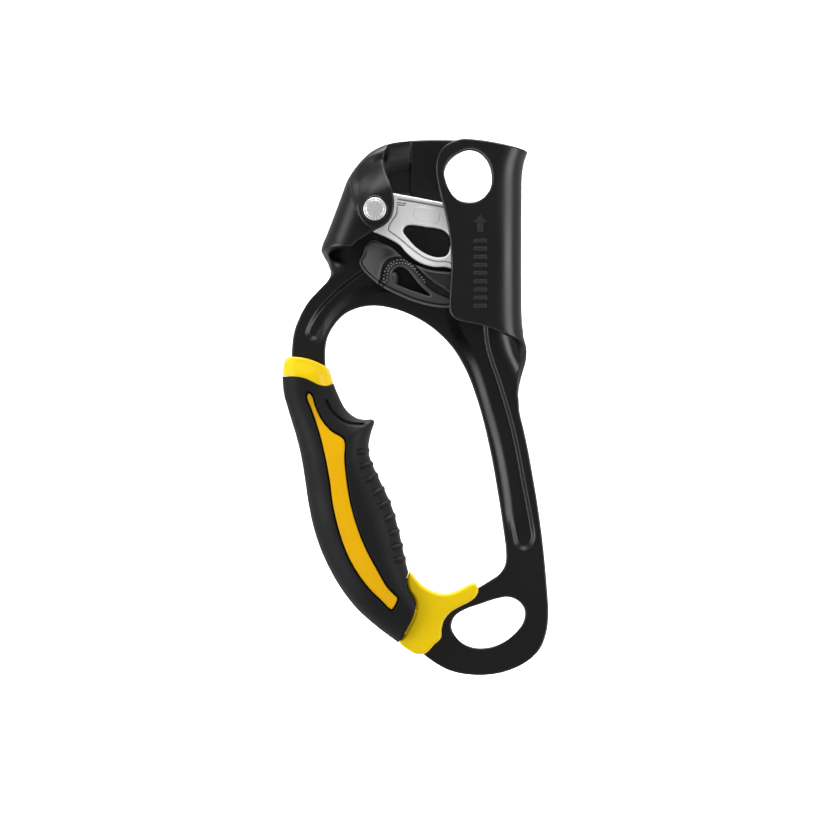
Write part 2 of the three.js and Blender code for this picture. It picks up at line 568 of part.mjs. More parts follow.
function gripInlay(side) {
  const [low, high] = side < 0 ? [-30, GRIP_Y - 4] : [GRIP_Y + 4, 50];
  const plug = slab(grow(smooth(STRIP, 1, true), -GAP), low, high);
  return plug.intersect(gripBody(-INLAY.proud)).subtract(gripBody(INLAY.thick - INLAY.proud));
}

function gripRubber() {
  const space = gripBody(RUBBER_WALL - GAP, CORE_SIDES);
  const footHalf = BRACKET_HALF + GAP;
  const foot = slab(grow(smooth(BRACKET, 2, true), GAP), GRIP_Y - footHalf, GRIP_Y + footHalf);
  return cut(gripBody(0), [space, foot, handleClearance(), inlayRecess(-1), inlayRecess(1)]);
}

// ---------------------------------------------------------------- materials and assembly
const finish = (color, roughness, metalness) =>
  new THREE.MeshStandardMaterial({ color, roughness, metalness });
const BLACK_ANODISED = finish('#26262a', 0.42, 0.6);
const CAST_STEEL = finish('#d8dade', 0.32, 0.9);
const STEEL = finish('#c4c6c9', 0.28, 0.95);
const SPRING_STEEL = finish('#8f9296', 0.35, 0.9);
const BLACK_PLASTIC = finish('#343436', 0.5, 0);
const BLACK_RUBBER = finish('#3a3b3d', 0.75, 0);
const YELLOW = finish('#f6d80f', 0.35, 0);
const GOLDEN = finish('#eec207', 0.4, 0);

const PIECES = [
  ['frame_plate', framePlate(), BLACK_ANODISED],
  ['cam_axle', camAxle(), STEEL],
  ['axle_sleeve', axleSleeve(), STEEL],
  ['axle_head_washer', headWasher(), STEEL],
  ['cam_washer_front', frontWasher(), SPRING_STEEL],
  ['cam_washer_rear', rearWasher(), SPRING_STEEL],
  ['cam_spring', coil(AXLE, SPRING), SPRING_STEEL],
  ['cam', cam(), CAST_STEEL],
  ['trigger', trigger(), BLACK_PLASTIC],
  ['trigger_pin', triggerPin(), STEEL],
  ['trigger_spring', coil(PIN, PIN_SPRING), SPRING_STEEL],
  ['grip_core', gripCore(), YELLOW],
  ['grip_rubber', gripRubber(), BLACK_RUBBER],
  ['grip_inlay_front', gripInlay(-1), GOLDEN],
  ['grip_inlay_rear', gripInlay(1), GOLDEN],
];

function toMesh([name, solid, material]) {
  const { vertProperties, triVerts } = solid.getMesh();
  const geometry = new THREE.BufferGeometry();
  geometry.setAttribute('position', new THREE.BufferAttribute(vertProperties, 3));
  geometry.setIndex(new THREE.BufferAttribute(triVerts, 1));
  geometry.computeVertexNormals();
  const mesh = new THREE.Mesh(geometry, material);
  mesh.name = name;
  return mesh;
}

const ascender = new THREE.Group();
PIECES.forEach((piece) => ascender.add(toMesh(piece)));

export default ascender;
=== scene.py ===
"""Looks of a handled rope clamp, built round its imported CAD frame.

Every piece is a smooth surface found from a signed distance field, in millimetres, so that folds,
pressed grooves, rounded edges and moulded ribs are real geometry. Outlines lie in the XZ plane, the front
faces -Y, and the sheet of the frame is unrolled to measure distances to its cut edges.
"""

import json
import math

import bpy
import numpy as np
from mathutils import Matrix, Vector


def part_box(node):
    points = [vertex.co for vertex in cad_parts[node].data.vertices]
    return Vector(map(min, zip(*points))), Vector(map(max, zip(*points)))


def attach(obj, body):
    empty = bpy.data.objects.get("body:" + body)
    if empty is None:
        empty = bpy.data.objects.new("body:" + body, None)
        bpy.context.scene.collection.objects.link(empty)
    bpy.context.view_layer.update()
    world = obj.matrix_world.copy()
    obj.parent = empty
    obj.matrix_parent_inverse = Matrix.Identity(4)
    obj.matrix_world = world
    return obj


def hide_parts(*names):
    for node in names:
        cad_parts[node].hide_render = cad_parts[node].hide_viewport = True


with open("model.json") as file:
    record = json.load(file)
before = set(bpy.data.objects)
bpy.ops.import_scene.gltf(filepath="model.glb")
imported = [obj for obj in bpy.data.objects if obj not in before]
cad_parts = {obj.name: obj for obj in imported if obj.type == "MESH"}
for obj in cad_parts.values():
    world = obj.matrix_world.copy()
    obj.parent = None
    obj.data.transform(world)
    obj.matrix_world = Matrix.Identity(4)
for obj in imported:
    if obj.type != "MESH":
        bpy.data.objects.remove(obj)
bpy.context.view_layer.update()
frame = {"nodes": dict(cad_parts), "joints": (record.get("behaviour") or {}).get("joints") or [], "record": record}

# ---- driving dimensions, in millimetres
MM = 0.001
SHEET = 3.2
MID_R = 8.8                      # from a fold's axis to the middle of the sheet
PLATE_OUT = MID_R + SHEET / 2    # the same to the outer face of the sheet
EAR_R = MID_R + SHEET            # the same for the front of the ear, which laps the flange
EDGE = 0.75                      # rounding of the sheet's cut edges
GROOVE = 1.65                    # depth of the pressed grooves
PLATE_Y = MID_R
BETWEEN_ARMS = -25               # the right arm is where x is over this, the left where it is under
PIVOTS = {j["name"]: np.array(j["pos_m"]) / MM for j in frame["joints"]}
AXLE_X, _, AXLE_Z = PIVOTS["cam_pivot"]
PIN_X, _, PIN_Z = PIVOTS["trigger_pivot"]
PIN_HOLE = 1.75


def box_mm(node_name):
    """Lowest and highest corner of a CAD node, in millimetres."""
    return [np.array(corner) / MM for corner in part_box(node_name)]


# ---- outlines, as (x, z)
TOP_EDGE = [(20, 17), (12.7, 21.2), (3.6, 23.7), (-5.1, 25.2), (-13.8, 25.8), (-22.9, 25.9), (-30.9, 25.6)]
SHOULDER = [
    (-53, 10.7), (-50.8, 14.3), (-47.9, 17.9), (-44.3, 21.2), (-39.6, 23.6), (-35, 24.7), (-30.6, 25.2),
]
ARMS = [
    (9.4, -68.1), (9.8, -73.2), (11.3, -79.7), (13.1, -88.1), (15.1, -99.3), (16.9, -110.6), (18.5, -123.3),
    (19.8, -137.8), (20.3, -146.2), (19.6, -153.4), (17.4, -159.3), (13.1, -163.8), (6.9, -167.1),
    (1.1, -168.7), (-5.4, -169.2), (-12, -168.5), (-17.1, -166.9), (-21.8, -164.2), (-27.2, -160),
    (-34.5, -152.7), (-41.8, -143.6), (-48.3, -134.2), (-53.4, -125.1), (-57.4, -115.3), (-60.3, -105.2),
    (-62.8, -94.3), (-65.7, -83.4), (-69, -74.3), (-71.9, -65.9), (-73.3, -58), (-73.3, -52.5),
    (-72.6, -44.9), (-70.4, -38.7), (-67.2, -33.1), (-63.2, -28.7), (-60.6, -26),
]
HAND_OPENING = [
    (-60.6, -58.7), (-61, -51.4), (-60.3, -46.7), (-58.1, -42.2), (-54.1, -37.8), (-49, -35.4),
    (-42.8, -34.6), (-35.6, -35.8), (-28.3, -38.7), (-21.4, -43.1), (-14.9, -49.6), (-9.8, -58.1),
    (-5.8, -68.5), (-2.7, -79.7), (0, -92.4), (2.2, -105.2), (3.8, -116), (4.8, -124.4), (4.5, -128.8),
    (2.5, -132.2), (-1.1, -134.7), (-6.9, -138.2), (-12.7, -141.5), (-19.2, -142.6), (-25.1, -140.4),
    (-30.1, -135.3), (-35.9, -126.9), (-40.7, -117.9), (-44.7, -107), (-47.6, -96.1), (-51.2, -85.2),
    (-55.6, -74.3), (-59.2, -65.2),
]
LOWER_EYE = [
    (-15, -152), (-14, -148), (-10.5, -145.4), (-4.7, -143.3), (1.8, -141.2), (5.8, -140.7), (9.4, -142.2),
    (11.6, -145.5), (11.1, -149.8), (8, -154), (3.3, -157.4), (-1.8, -159.1), (-7.3, -159), (-12, -156.7),
]
UPPER_EYE = [
    (-8.9, 22), (-12.8, 20.6), (-16.2, 17.5), (-17.7, 13.6), (-17, 9.7), (-15.1, 5.7), (-12.8, 3.5),
    (-9.6, 2.6), (-6.1, 2.9), (-3.1, 4.7), (-1.1, 7.7), (-0.4, 11.3), (-0.9, 15.2), (-2.4, 18.5),
    (-5.2, 21.2),
]
FLAP_EDGE = [
    (-3, 27.2), (-9, 26), (-13.6, 25), (-16.8, 23.5), (-19, 21.3), (-20.4, 18.3), (-20.9, 15), (-20.5, 11),
    (-19, 4.6), (-17.6, -0.9), (-16.3, -7.5), (-15.5, -14.4), (-15.3, -20.9), (-15.7, -27.8), (-16, -34),
    (-15.8, -36.9), (-14.3, -39.1), (-11.6, -40.3), (-4.7, -41.8), (0.4, -43.4),
]
EAR_OUTLINE = [
    (-57, 12.9), (-52.6, 11), (-51.4, 6.3), (-50.1, 1.8), (-48.7, -2.2), (-46.5, -5.3), (-43, -7.3),
    (-40.3, -6.4), (-37.6, -4.2), (-36.2, -1.1), (-35.9, 3.4), (-37, 8.5), (-38.6, 12.6), (-39.5, 16.2),
    (-39.5, 19.4), (-38.5, 22.2), (-37.6, 24.6), (-37, 30), (-60, 30),
]
FLANGE_BOTTOM = [(-51.2, -12.8), (-47, -10.2), (-43, -7.6), (-38.4, -4.9), (-37.2, 0), (-37.6, 6)]
GROOVE_RIGHT = [
    (-2.2, -43.1), (-1.1, -50.7), (3.4, -64.3), (8, -80.6), (11.6, -98.8), (14.5, -114.2), (15.1, -119),
    (13.8, -122), (11.2, -123.3), (8.7, -121.9), (7.6, -118.2), (5.8, -103.3), (2.9, -87), (-1.5, -70.7),
    (-5.8, -57), (-10.2, -48), (-13.5, -42), (-13.5, -36), (-2.2, -36),
]
GROOVE_LEFT = [
    (-44, -19.9), (-53.7, -26.3), (-59.2, -31.2), (-64.3, -36.9), (-67.5, -42.7), (-67.9, -44.9),
    (-66.4, -46.7), (-64.3, -46.3), (-62.5, -43.4), (-59.2, -38), (-54.5, -32.9), (-49, -29.4),
    (-41.8, -27.3), (-36.5, -26.5), (-38, -19),
]
# Folds, as (x, z, wrap): the outermost line of the fold and how far the sheet turns there, in degrees.
CHANNEL_EDGE = [
    (14.6, 27, 180), (12.7, 21.2, 180), (11.4, 17.6, 180), (10.6, 12.9, 180), (10.4, 4, 180),
    (10.4, -36.2, 180), (10.6, -41, 180), (10.9, -43.6, 178), (11.1, -45.6, 150), (11.5, -47.4, 118),
    (12.5, -51.4, 78), (12.3, -55.4, 51), (11.1, -59.4, 29), (10, -63.4, 14), (9.4, -67.6, 5),
]
FLANGE_INWARD = np.array([0.936, -0.352])
FLANGE_EDGE = [
    (-59.3, -23.4, 10), (-59.8, -20.9, 30), (-60.8, -18.6, 52), (-62, -16.4, 80), (-62.4, -14.6, 108),
    (-61.6, -11.6, 150), (-60.6, -9.4, 180), (-53, 10.7, 180),
]


# ---- curves and flat distance fields
def between(a, b, start, end, at):
    """On the line that is at a at start and at b at end."""
    return (end - at) / (end - start) * a + (at - start) / (end - start) * b


def smooth(points, per=6, closed=True):
    """Points along a centripetal Catmull-Rom curve through the given ones."""
    p = np.array(points, float)
    if closed:
        p = np.vstack([p[-1:], p, p[:2]])
    else:
        p = np.vstack([2 * p[0] - p[1], p, 2 * p[-1] - p[-2]])
    out = []
    for a, b, c, d in zip(p[:-3], p[1:-2], p[2:-1], p[3:]):
        legs = [max(np.linalg.norm(leg), 1e-6) ** 0.5 for leg in (b - a, c - b, d - c)]
        t0, t1, t2, t3 = np.cumsum([0] + legs)
        t = np.linspace(t1, t2, per, endpoint=False)[:, None]
        ab, bc, cd = between(a, b, t0, t1, t), between(b, c, t1, t2, t), between(c, d, t2, t3, t)
        out.append(between(between(ab, bc, t0, t2, t), between(bc, cd, t1, t3, t), t1, t2, t))
    if not closed:
        out.append(np.array(points[-1:], float))
    return np.vstack(out)


def open_curve(points, per=6):
    return smooth(points, per, closed=False).tolist()


class Flat:
    """A distance field over a plane, kept on a grid and read by smooth interpolation."""

    def __init__(self, low, high, step=0.3):
        self.low, self.step = np.array(low, float), step
        self.size = np.ceil((np.array(high) - self.low) / step).astype(int) + 1
        axes = [self.low[i] + step * np.arange(self.size[i]) for i in (0, 1)]
        self.u, self.v = np.meshgrid(*axes, indexing="ij")
        self.value = np.full(self.u.shape, 1e3)

    def distance(self, points, closed=True):
        """Distance to a run of straight pieces, negative inside a closed one."""
        points = np.array(points, float)
        ends = np.roll(points, -1, 0) if closed else points[1:]
        nearest = np.full(self.u.shape, 1e9)
        inside = np.zeros(self.u.shape, bool)
        for (ax, az), (bx, bz) in zip(points, ends):
            dx, dz = bx - ax, bz - az
            length = dx * dx + dz * dz
            if length < 1e-12:
                continue
            share = np.clip(((self.u - ax) * dx + (self.v - az) * dz) / length, 0, 1)
            gap = (self.u - ax - share * dx) ** 2 + (self.v - az - share * dz) ** 2
            np.minimum(nearest, gap, out=nearest)
            if closed and dz:
                crosses = (az > self.v) != (bz > self.v)
                inside ^= crosses & (self.u < ax + (self.v - az) * dx / dz)
        return np.where(inside, -1, 1) * np.sqrt(nearest)

    def add(self, points, closed=True):
        self.value = np.minimum(self.value, self.distance(points, closed))

    def cut(self, points):
        self.value = np.maximum(self.value, -self.distance(points))

    def soften(self, times):
        for _ in range(times):
            v = self.value
            v[1:-1] = (v[:-2] + 2 * v[1:-1] + v[2:]) / 4
            v[:, 1:-1] = (v[:, :-2] + 2 * v[:, 1:-1] + v[:, 2:]) / 4

    def __call__(self, u, v):
        return interpolate(self.value, (u - self.low[0]) / self.step, (v - self.low[1]) / self.step)


def interpolate(grid, i, j):
    """Quadratic B-spline reading of a grid, which has a continuous slope."""
    i, j = np.broadcast_arrays(np.clip(i, 1, grid.shape[0] - 2.001), np.clip(j, 1, grid.shape[1] - 2.001))
    a = np.clip(np.rint(i).astype(int), 1, grid.shape[0] - 2)
    b = np.clip(np.rint(j).astype(int), 1, grid.shape[1] - 2)
    ws, wt = [(0.5 * (0.5 - r) ** 2, 0.75 - r * r, 0.5 * (0.5 + r) ** 2) for r in (i - a, j - b)]
    total = 0
    for m in range(3):
        for n in range(3):
            total = total + ws[m] * wt[n] * grid[a + m - 1, b + n - 1]
    return total


def outline_field(low, high, outlines, holes=(), step=0.3, blur=1):
    """A distance field of closed outlines less some holes, inside negative."""
    field = Flat(low, high, step)
    for points in outlines:
        field.add(points)
    for points in holes:
        field.cut(points)
    field.soften(blur)
    return field


# ---- solid distance fields
def ramp(value, low, high):
    """0 below low, 1 above high, and a smooth step between."""
    t = np.clip((value - low) / (high - low), 0, 1)
    return t * t * (3 - 2 * t)


def meet(a, b, edge):
    """Intersection of two solids with a rounded edge."""
    u, v = a + edge, b + edge
    return np.minimum(np.maximum(u, v), 0) + np.hypot(np.maximum(u, 0), np.maximum(v, 0)) - edge


def plate(flat, off, half, edge):
    """A plate of a flat outline, off its middle surface by off, with rounded edges."""
    return meet(flat, np.abs(off) - half, edge)


def join(a, b, soft=0):
    """Union of two fields, with a fillet if soft is over 0."""
    if soft <= 0:
        return np.minimum(a, b)
    h = np.maximum(soft - np.abs(a - b), 0) / soft
    return np.minimum(a, b) - h * h * soft / 4


def carve(a, tool, soft=0):
    """What is left of a when tool is cut from it."""
    return -join(-a, tool, soft)


def placed(name, data):
    """A new object in the scene."""
    made = bpy.data.objects.new(name, data)
    bpy.context.scene.collection.objects.link(made)
    return made


def toned_mesh(name, points, faces, shades):
    """A smoothly shaded mesh, its points in millimetres, with a tone at each point."""
    mesh = bpy.data.meshes.new(name)
    mesh.from_pydata((points * MM).tolist(), [], faces)
    mesh.update()
    mesh.shade_smooth()
    mesh.attributes.new("tone", "FLOAT", "POINT").data.foreach_set("value", shades.astype(np.float32))
    return mesh


def surface(name, field, low, high, step, tone=None):
    """A closed, smooth mesh of the points where field(x, y, z) is 0, all in millimetres.

    tone(x, y, z), from 0 to 1, is kept at each point for the finish: 0 darkest, 0.5 plain, 1 lightest; it mostly
    holds painted light and shade.
    """
    low, high = np.array(low, float) - 2 * step, np.array(high, float) + 2 * step
    count = np.ceil((high - low) / step).astype(int) + 1
    axes = [low[i] + step * np.arange(count[i]) for i in range(3)]
    values = np.empty(count, np.float32)
    for i, x in enumerate(axes[0]):
        y, z = np.meshgrid(axes[1], axes[2], indexing="ij")
        values[i] = field(np.full_like(y, x), y, z)
    points, quads = nets(values)
    points = low + step * points
    for _ in range(3):
        slope, here = gradient(field, points, step * 0.2)
        squared = np.maximum((slope * slope).sum(1), 1e-4)
        shift = slope * (here / squared)[:, None]
        reach = np.linalg.norm(shift, axis=1)
        points -= shift * (np.minimum(1, 0.6 * step / np.maximum(reach, 1e-9)))[:, None]
    normals = gradient(field, points, step * 0.35)[0]
    normals /= np.maximum(np.linalg.norm(normals, axis=1), 1e-9)[:, None]
    shades = np.full(len(points), 0.5) if tone is None else np.clip(tone(*points.T), 0, 1)
    mesh = toned_mesh(name, points, quads.tolist(), shades)
    mesh.normals_split_custom_set_from_vertices(normals.tolist())
    return placed(name, mesh)


def nets(values):
    """Surface nets: one point in each mixed cell, one four-sided face across each mixed grid edge."""
    solid = values < 0
    cells = tuple(n - 1 for n in values.shape)
    corners = [solid[i:i + cells[0], j:j + cells[1], k:k + cells[2]]
               for i in (0, 1) for j in (0, 1) for k in (0, 1)]
    filled = sum(c.astype(np.int8) for c in corners)
    mixed = (filled > 0) & (filled < 8)
    number = np.full(cells, -1, np.int64)
    at = np.argwhere(mixed)
    number[mixed] = np.arange(len(at))
    total, weight = np.zeros((len(at), 3)), np.zeros(len(at))
    for axis in range(3):
        for j in (0, 1):
            for k in (0, 1):
                start = at.copy()
                start[:, [n for n in range(3) if n != axis]] += (j, k)
                end = start.copy()
                end[:, axis] += 1
                a, b = values[tuple(start.T)], values[tuple(end.T)]
                crossing = (a < 0) != (b < 0)
                share = np.where(crossing, a / np.where(crossing, a - b, 1), 0)
                point = start.astype(float)
                point[:, axis] += share
                total += point * crossing[:, None]
                weight += crossing
    points = total / weight[:, None]
    quads = []
    for axis in range(3):
        u, v = [(1, 2), (2, 0), (0, 1)][axis]
        length = [slice(1, -1)] * 3
        length[axis] = slice(0, -1)
        ahead = list(length)
        ahead[axis] = slice(1, None)
        a, b = solid[tuple(length)], solid[tuple(ahead)]
        for changed, turned in ((a & ~b, False), (~a & b, True)):
            edge = np.argwhere(changed)
            edge[:, [u, v]] += 1
            ring = []
            for du, dv in ((1, 1), (0, 1), (0, 0), (1, 0)):
                cell = edge.copy()
                cell[:, [u, v]] -= (du, dv)
                ring.append(number[tuple(cell.T)])
            ring = np.stack(ring, 1)
            quads.append(ring[:, ::-1] if turned else ring)
    return points, np.vstack(quads)


def gradient(field, points, reach):
    x, y, z = points.T
    slope = np.stack([
        field(x + reach, y, z) - field(x - reach, y, z),
        field(x, y + reach, z) - field(x, y - reach, z),
        field(x, y, z + reach) - field(x, y, z - reach),
    ], 1) / (2 * reach)
    return slope, field(x, y, z)


# ---- the folded frame
UNROLLED = MID_R * math.pi       # length of a half-turn fold along the middle of the sheet
FLANGE_AXIS = np.array([-FLANGE_INWARD[1], FLANGE_INWARD[0]])


def fold_stops(edge, inward):
    """For each stop of a fold: place along it, where it leaves the plate, and length of sheet turned."""
    axis = np.array([-inward[1], inward[0]])
    rows = []
    for x, z, wrap in edge:
        turn = math.radians(wrap)
        start = np.dot((x, z), inward) + PLATE_OUT * math.sin(min(turn, math.pi / 2))
        rows.append((np.dot((x, z), axis), start, MID_R * turn))
    return sorted(rows)


def curl(out, y):
    """Off the middle of the sheet, and the unrolled distance past the line where it leaves the plate."""
    off = np.where(out > 0, np.hypot(out, y), np.abs(y)) - MID_R
    turned = MID_R * np.arctan2(np.maximum(out, 0), y)
    run = np.where(out > 0, turned, np.where(y > 0, out, UNROLLED - out))
    return off, run


def along_flange(x, z):
    return FLANGE_AXIS[0] * x + FLANGE_AXIS[1] * z


def into_flange(x, z):
    return FLANGE_INWARD[0] * x + FLANGE_INWARD[1] * z


def reading(points, values):
    """A smooth function through values given at rising points."""
    line = np.array(open_curve(np.stack([points, values], 1), 10))
    return lambda at: np.interp(at, line[:, 0], line[:, 1])


CHANNEL = fold_stops(CHANNEL_EDGE, np.array([-1.0, 0.0]))[::-1]
FLANGE = fold_stops(FLANGE_EDGE, FLANGE_INWARD)
channel_start = reading(
    [-190, -140, -99, -80, -73.2] + [-row[0] for row in CHANNEL],
    [28, 26, 20.5, 14.2, 11.4] + [-row[1] for row in CHANNEL])
flange_start = reading(
    [-60, -52, -45.67] + [row[0] for row in FLANGE], [-60, -53, -47.57] + [row[1] for row in FLANGE])
EAR_PATH = open_curve([(-74.7, -46.8), (-60.6, -9.4), (-55, 5.4)] + SHOULDER + [(-18, 26.4), (0, 28)], 8)


def frame_fields():
    """Flat fields of the frame's limits, its grooves, the plate with its shoulder, and the ear."""
    low, high = (-84, -176), (32, 34)
    under_top = open_curve(TOP_EDGE) + [(-100, 25.6), (-100, -190), (60, -190), (60, 0)]
    limits = outline_field(low, high, [under_top], [smooth(UPPER_EYE)])
    grooves = outline_field(low, high, [smooth(GROOVE_RIGHT), smooth(GROOVE_LEFT)])
    shoulder = outline_field(low, high, [EAR_PATH + [(40, 28), (40, -190), (-74.7, -190)]], blur=3)
    ear_front = outline_field(low, high, [open_curve(EAR_OUTLINE[:-2]) + EAR_OUTLINE[-2:]])
    return limits, grooves, shoulder, ear_front


def channel_pattern():
    """Back plate, channel fold and flap, cut out of one unrolled sheet."""
    flap = [(2 * float(channel_start(z)) + UNROLLED - x, z) for x, z in open_curve(FLAP_EDGE)]
    turned = [(float(channel_start(-row[0])) + row[2], -row[0]) for row in CHANNEL]
    run_out = [p for p in turned if p[1] < -43.5][::-1]
    shoulder_line = [(-44.1, 5.3), (-42.3, 8.4), (-40.4, 10.7), (-38.5, 12.6), (-36, 13.8), (-33.2, 14.5)]
    flange_line = [tuple(row[0] * FLANGE_AXIS + row[1] * FLANGE_INWARD) for row in FLANGE[:-1]]
    edge = open_curve([(27.84, -43.6)] + run_out[1:] + ARMS)
    outline = (
        [(-31.2, 34), (60, 34), flap[0]] + flap + edge + flange_line + shoulder_line
        + [(-31.2, 14.9), (-31.2, 34)])
    return outline_field((-84, -176), (62, 36), [outline], [smooth(HAND_OPENING), smooth(LOWER_EYE)])


def flange_pattern():
    """The flange in its own unrolled sheet: distance past the plate, and place along the fold."""
    turned = [(row[2], row[0]) for row in FLANGE[:-1]]
    front = []
    for x, z in open_curve(FLANGE_BOTTOM):
        along = along_flange(x, z)
        front.append((UNROLLED + into_flange(x, z) - float(flange_start(along)), along))
    edge = open_curve([(0, -45.67)] + turned + front[2::3])
    outline = [(-7, -43), (-2.5, -45.6)] + edge + [(33, -8.8), (-7, -8.8)]
    return outline_field((-10, -52), (42, 0), [outline])


LIMITS, GROOVES, SHOULDER_IN, EAR_FRONT_CUT = frame_fields()
CHANNEL_CUT = channel_pattern()
FLANGE_CUT = flange_pattern()


def frame_field(x, y, z):
    level = y - np.where(y > 0, groove_depth(x, z)[0] + plate_step(x, z), 0)
    start = channel_start(z)
    off, run = curl(x - start, level)
    sheet = plate(np.maximum(CHANNEL_CUT(start + run, z), LIMITS(x, z)), off, SHEET / 2, EDGE)
    along = along_flange(x, z)
    off, run = curl(flange_start(along) - into_flange(x, z), level)
    flange = plate(FLANGE_CUT(run, along), off, SHEET / 2, EDGE)
    return np.minimum(np.minimum(sheet, flange), ear_field(x, y, z))


RIGHT_MIDDLE = reading(
    [-123, -118, -103, -87, -70.7, -57, -43, -36], [11.5, 11.3, 9.1, 6.1, 1.9, -2.4, -7.5, -9.5])
LEFT_MIDDLE = reading(
    [-68, -65.9, -61.8, -56.9, -51.3, -43, -36], [-50, -44.5, -37.5, -32, -27.8, -23.6, -22])


def groove_depth(x, z):
    """Depth of the pressed grooves, and how much there is of their long wall by the hand opening."""
    right = x > BETWEEN_ARMS
    inner = np.where(right, ramp(RIGHT_MIDDLE(z) - x, -1, 1.5), ramp(LEFT_MIDDLE(x) - z, -1, 1.5))
    length = np.where(right, ramp(z, -121, -110), ramp(x, -67, -61))
    inner = inner * length
    inside = -GROOVES(x, z)
    steep = ramp(inside, -0.7 + 0.3 * length, 1.5 - 0.4 * length)
    long = ramp(inside, -2.8, 1.5)
    depth = GROOVE * (0.76 + 0.24 * length)
    return depth * (steep + (long - steep) * inner), inner * long * (1 - long)


def plate_step(x, z):
    """The plate's left end stands a little proud of the shoulder that curls away from it."""
    return 0.5 * ramp(-x, 29.5, 30.2) * (1 - ramp(-x, 33, 39)) * ramp(z, 5, 7)


def ear_crease(x, z):
    """Height above the ear's crease, and how much of a dimple there is."""
    above = 0.92 * (z - 16) - 0.39 * (x + 44)
    left_pit = np.exp(-((x + 47.6) ** 2 + (z - 13.2) ** 2) / 0.7)
    return above, left_pit + np.exp(-((x + 44.3) ** 2 + (z - 16.6) ** 2) / 0.5)


def ear_dent(x, z):
    """How far the ear's front is set back: a joggle above the flange, a crease, and two dimples."""
    above, pits = ear_crease(x, z)
    slope = 3.7 * ramp(above, -12, -1.6) * (1 - 0.8 * ramp(above, 0.3, 4.2))
    return slope * ramp(x, -53.5, -48.5) + 0.22 * pits


def frame_painted_light_and_shade(x, y, z):
    """Painted shade in the ear's crease and dimples; painted highlights on the ear below its crease, along the
    plate's step, on the grooves' long walls and in the hollow of the shoulder.
    """
    above, pits = ear_crease(x, z)
    # painted shade along the ear's crease
    painted_crease_shade = np.exp(-((above - 0.3) / 1.4) ** 2) * ramp(x, -51, -48)
    # a painted highlight on the ear below its crease
    painted_ear_highlight = np.exp(-((above + 6.5) / 2) ** 2 - ((x + 43) / 4) ** 2)
    # a painted highlight along the step at the plate's left end
    painted_step_highlight = np.exp(-((x + 29.7) / 0.28) ** 2) * ramp(z, 6, 8) * (y > 0)
    # painted light on the long walls of the grooves
    painted_wall_light = groove_depth(x, z)[1] * (y > 6) * (y < MID_R + 0.8)
    # painted light in the hollow of the shoulder
    painted_hollow_light = ramp(z, 20, 23.5) * ramp(-SHOULDER_IN(x, z), 0.7, 1.5)
    painted_hollow_light = painted_hollow_light * (y > 0) * (y < 8) * (x > -39.5) * (x < -29.9)
    ear = (y < -2) & (x < -36) & (z > 6)
    painted_light = 0.03 * painted_step_highlight + 0.05 * painted_wall_light + 0.07 * painted_hollow_light
    return 0.5 + (0.03 * painted_ear_highlight - 0.42 * np.minimum(painted_crease_shade + pits, 1)) * ear + painted_light


def ear_field(x, y, z):
    """The shoulder at the plate's top left, and the ear that it curls forward into."""
    inside = -SHOULDER_IN(x, z)
    y = y - np.where(y < 0, ear_dent(x, z) * ramp(-y, 3, 8), plate_step(x, z))
    out = PLATE_OUT - inside
    across = np.maximum(out, 0) / MID_R
    depth = np.where(y > 0, y / MID_R, y / EAR_R)
    level = np.hypot(across, depth)
    slope = np.hypot(across / MID_R, depth / np.where(y > 0, MID_R, EAR_R)) / np.maximum(level, 1e-6)
    off = (level - 1) / np.maximum(slope, 0.02)
    back = np.maximum(np.maximum(x + 29.9, inside - 14.5), -14 - along_flange(x, z))
    cut = np.where(y > 0, back, EAR_FRONT_CUT(x, z))
    sheet = plate(np.maximum(cut, LIMITS(x, z)), off, SHEET / 2, EDGE)
    thinned = 2.2 * (1 - ramp(y, 0.3, 8.8)) * ramp(x, -39.5, -37.5)
    return np.maximum(sheet, np.where(y > -0.5, thinned - off - SHEET / 2, sheet))


# ---- materials
def material(name, build):
    made = bpy.data.materials.new(name)
    made.use_nodes = True
    tree = made.node_tree
    shader = tree.nodes["Principled BSDF"]
    build(tree, shader)
    return made


def node(tree, kind, inputs=None, **settings):
    made = tree.nodes.new(kind)
    for key, value in settings.items():
        setattr(made, key, value)
    for key, value in (inputs or {}).items():
        if isinstance(value, bpy.types.NodeSocket):
            tree.links.new(value, made.inputs[key])
        else:
            made.inputs[key].default_value = value
    return made


def linear(*rgb):
    return tuple(((c / 255 + 0.055) / 1.055) ** 2.4 if c > 10 else c / 255 / 12.92 for c in rgb) + (1,)


def shaded(tree, tone):
    """Darker where a piece's tone is under a half, and lighter where it is over: the tone holds painted light and
    shade, and the lighter top of the flap's marks.
    """
    shade = node(tree, "ShaderNodeAttribute", attribute_name="tone")
    for end, share, there in ((0, 0.9, (0.002, 0.002, 0.002, 1)), (1, 0.5, (0.8, 0.8, 0.8, 1))):
        amount = node(tree, "ShaderNodeMapRange", {
            "Value": shade.outputs["Fac"], "From Min": 0.5, "From Max": end, "To Min": 0, "To Max": share})
        mixed = node(tree, "ShaderNodeMix", {"Factor": amount.outputs["Result"]}, data_type="RGBA")
        tree.links.new(tone.outputs["Result"], mixed.inputs["A"])
        mixed.inputs["B"].default_value = there
        tone = mixed
    return tone


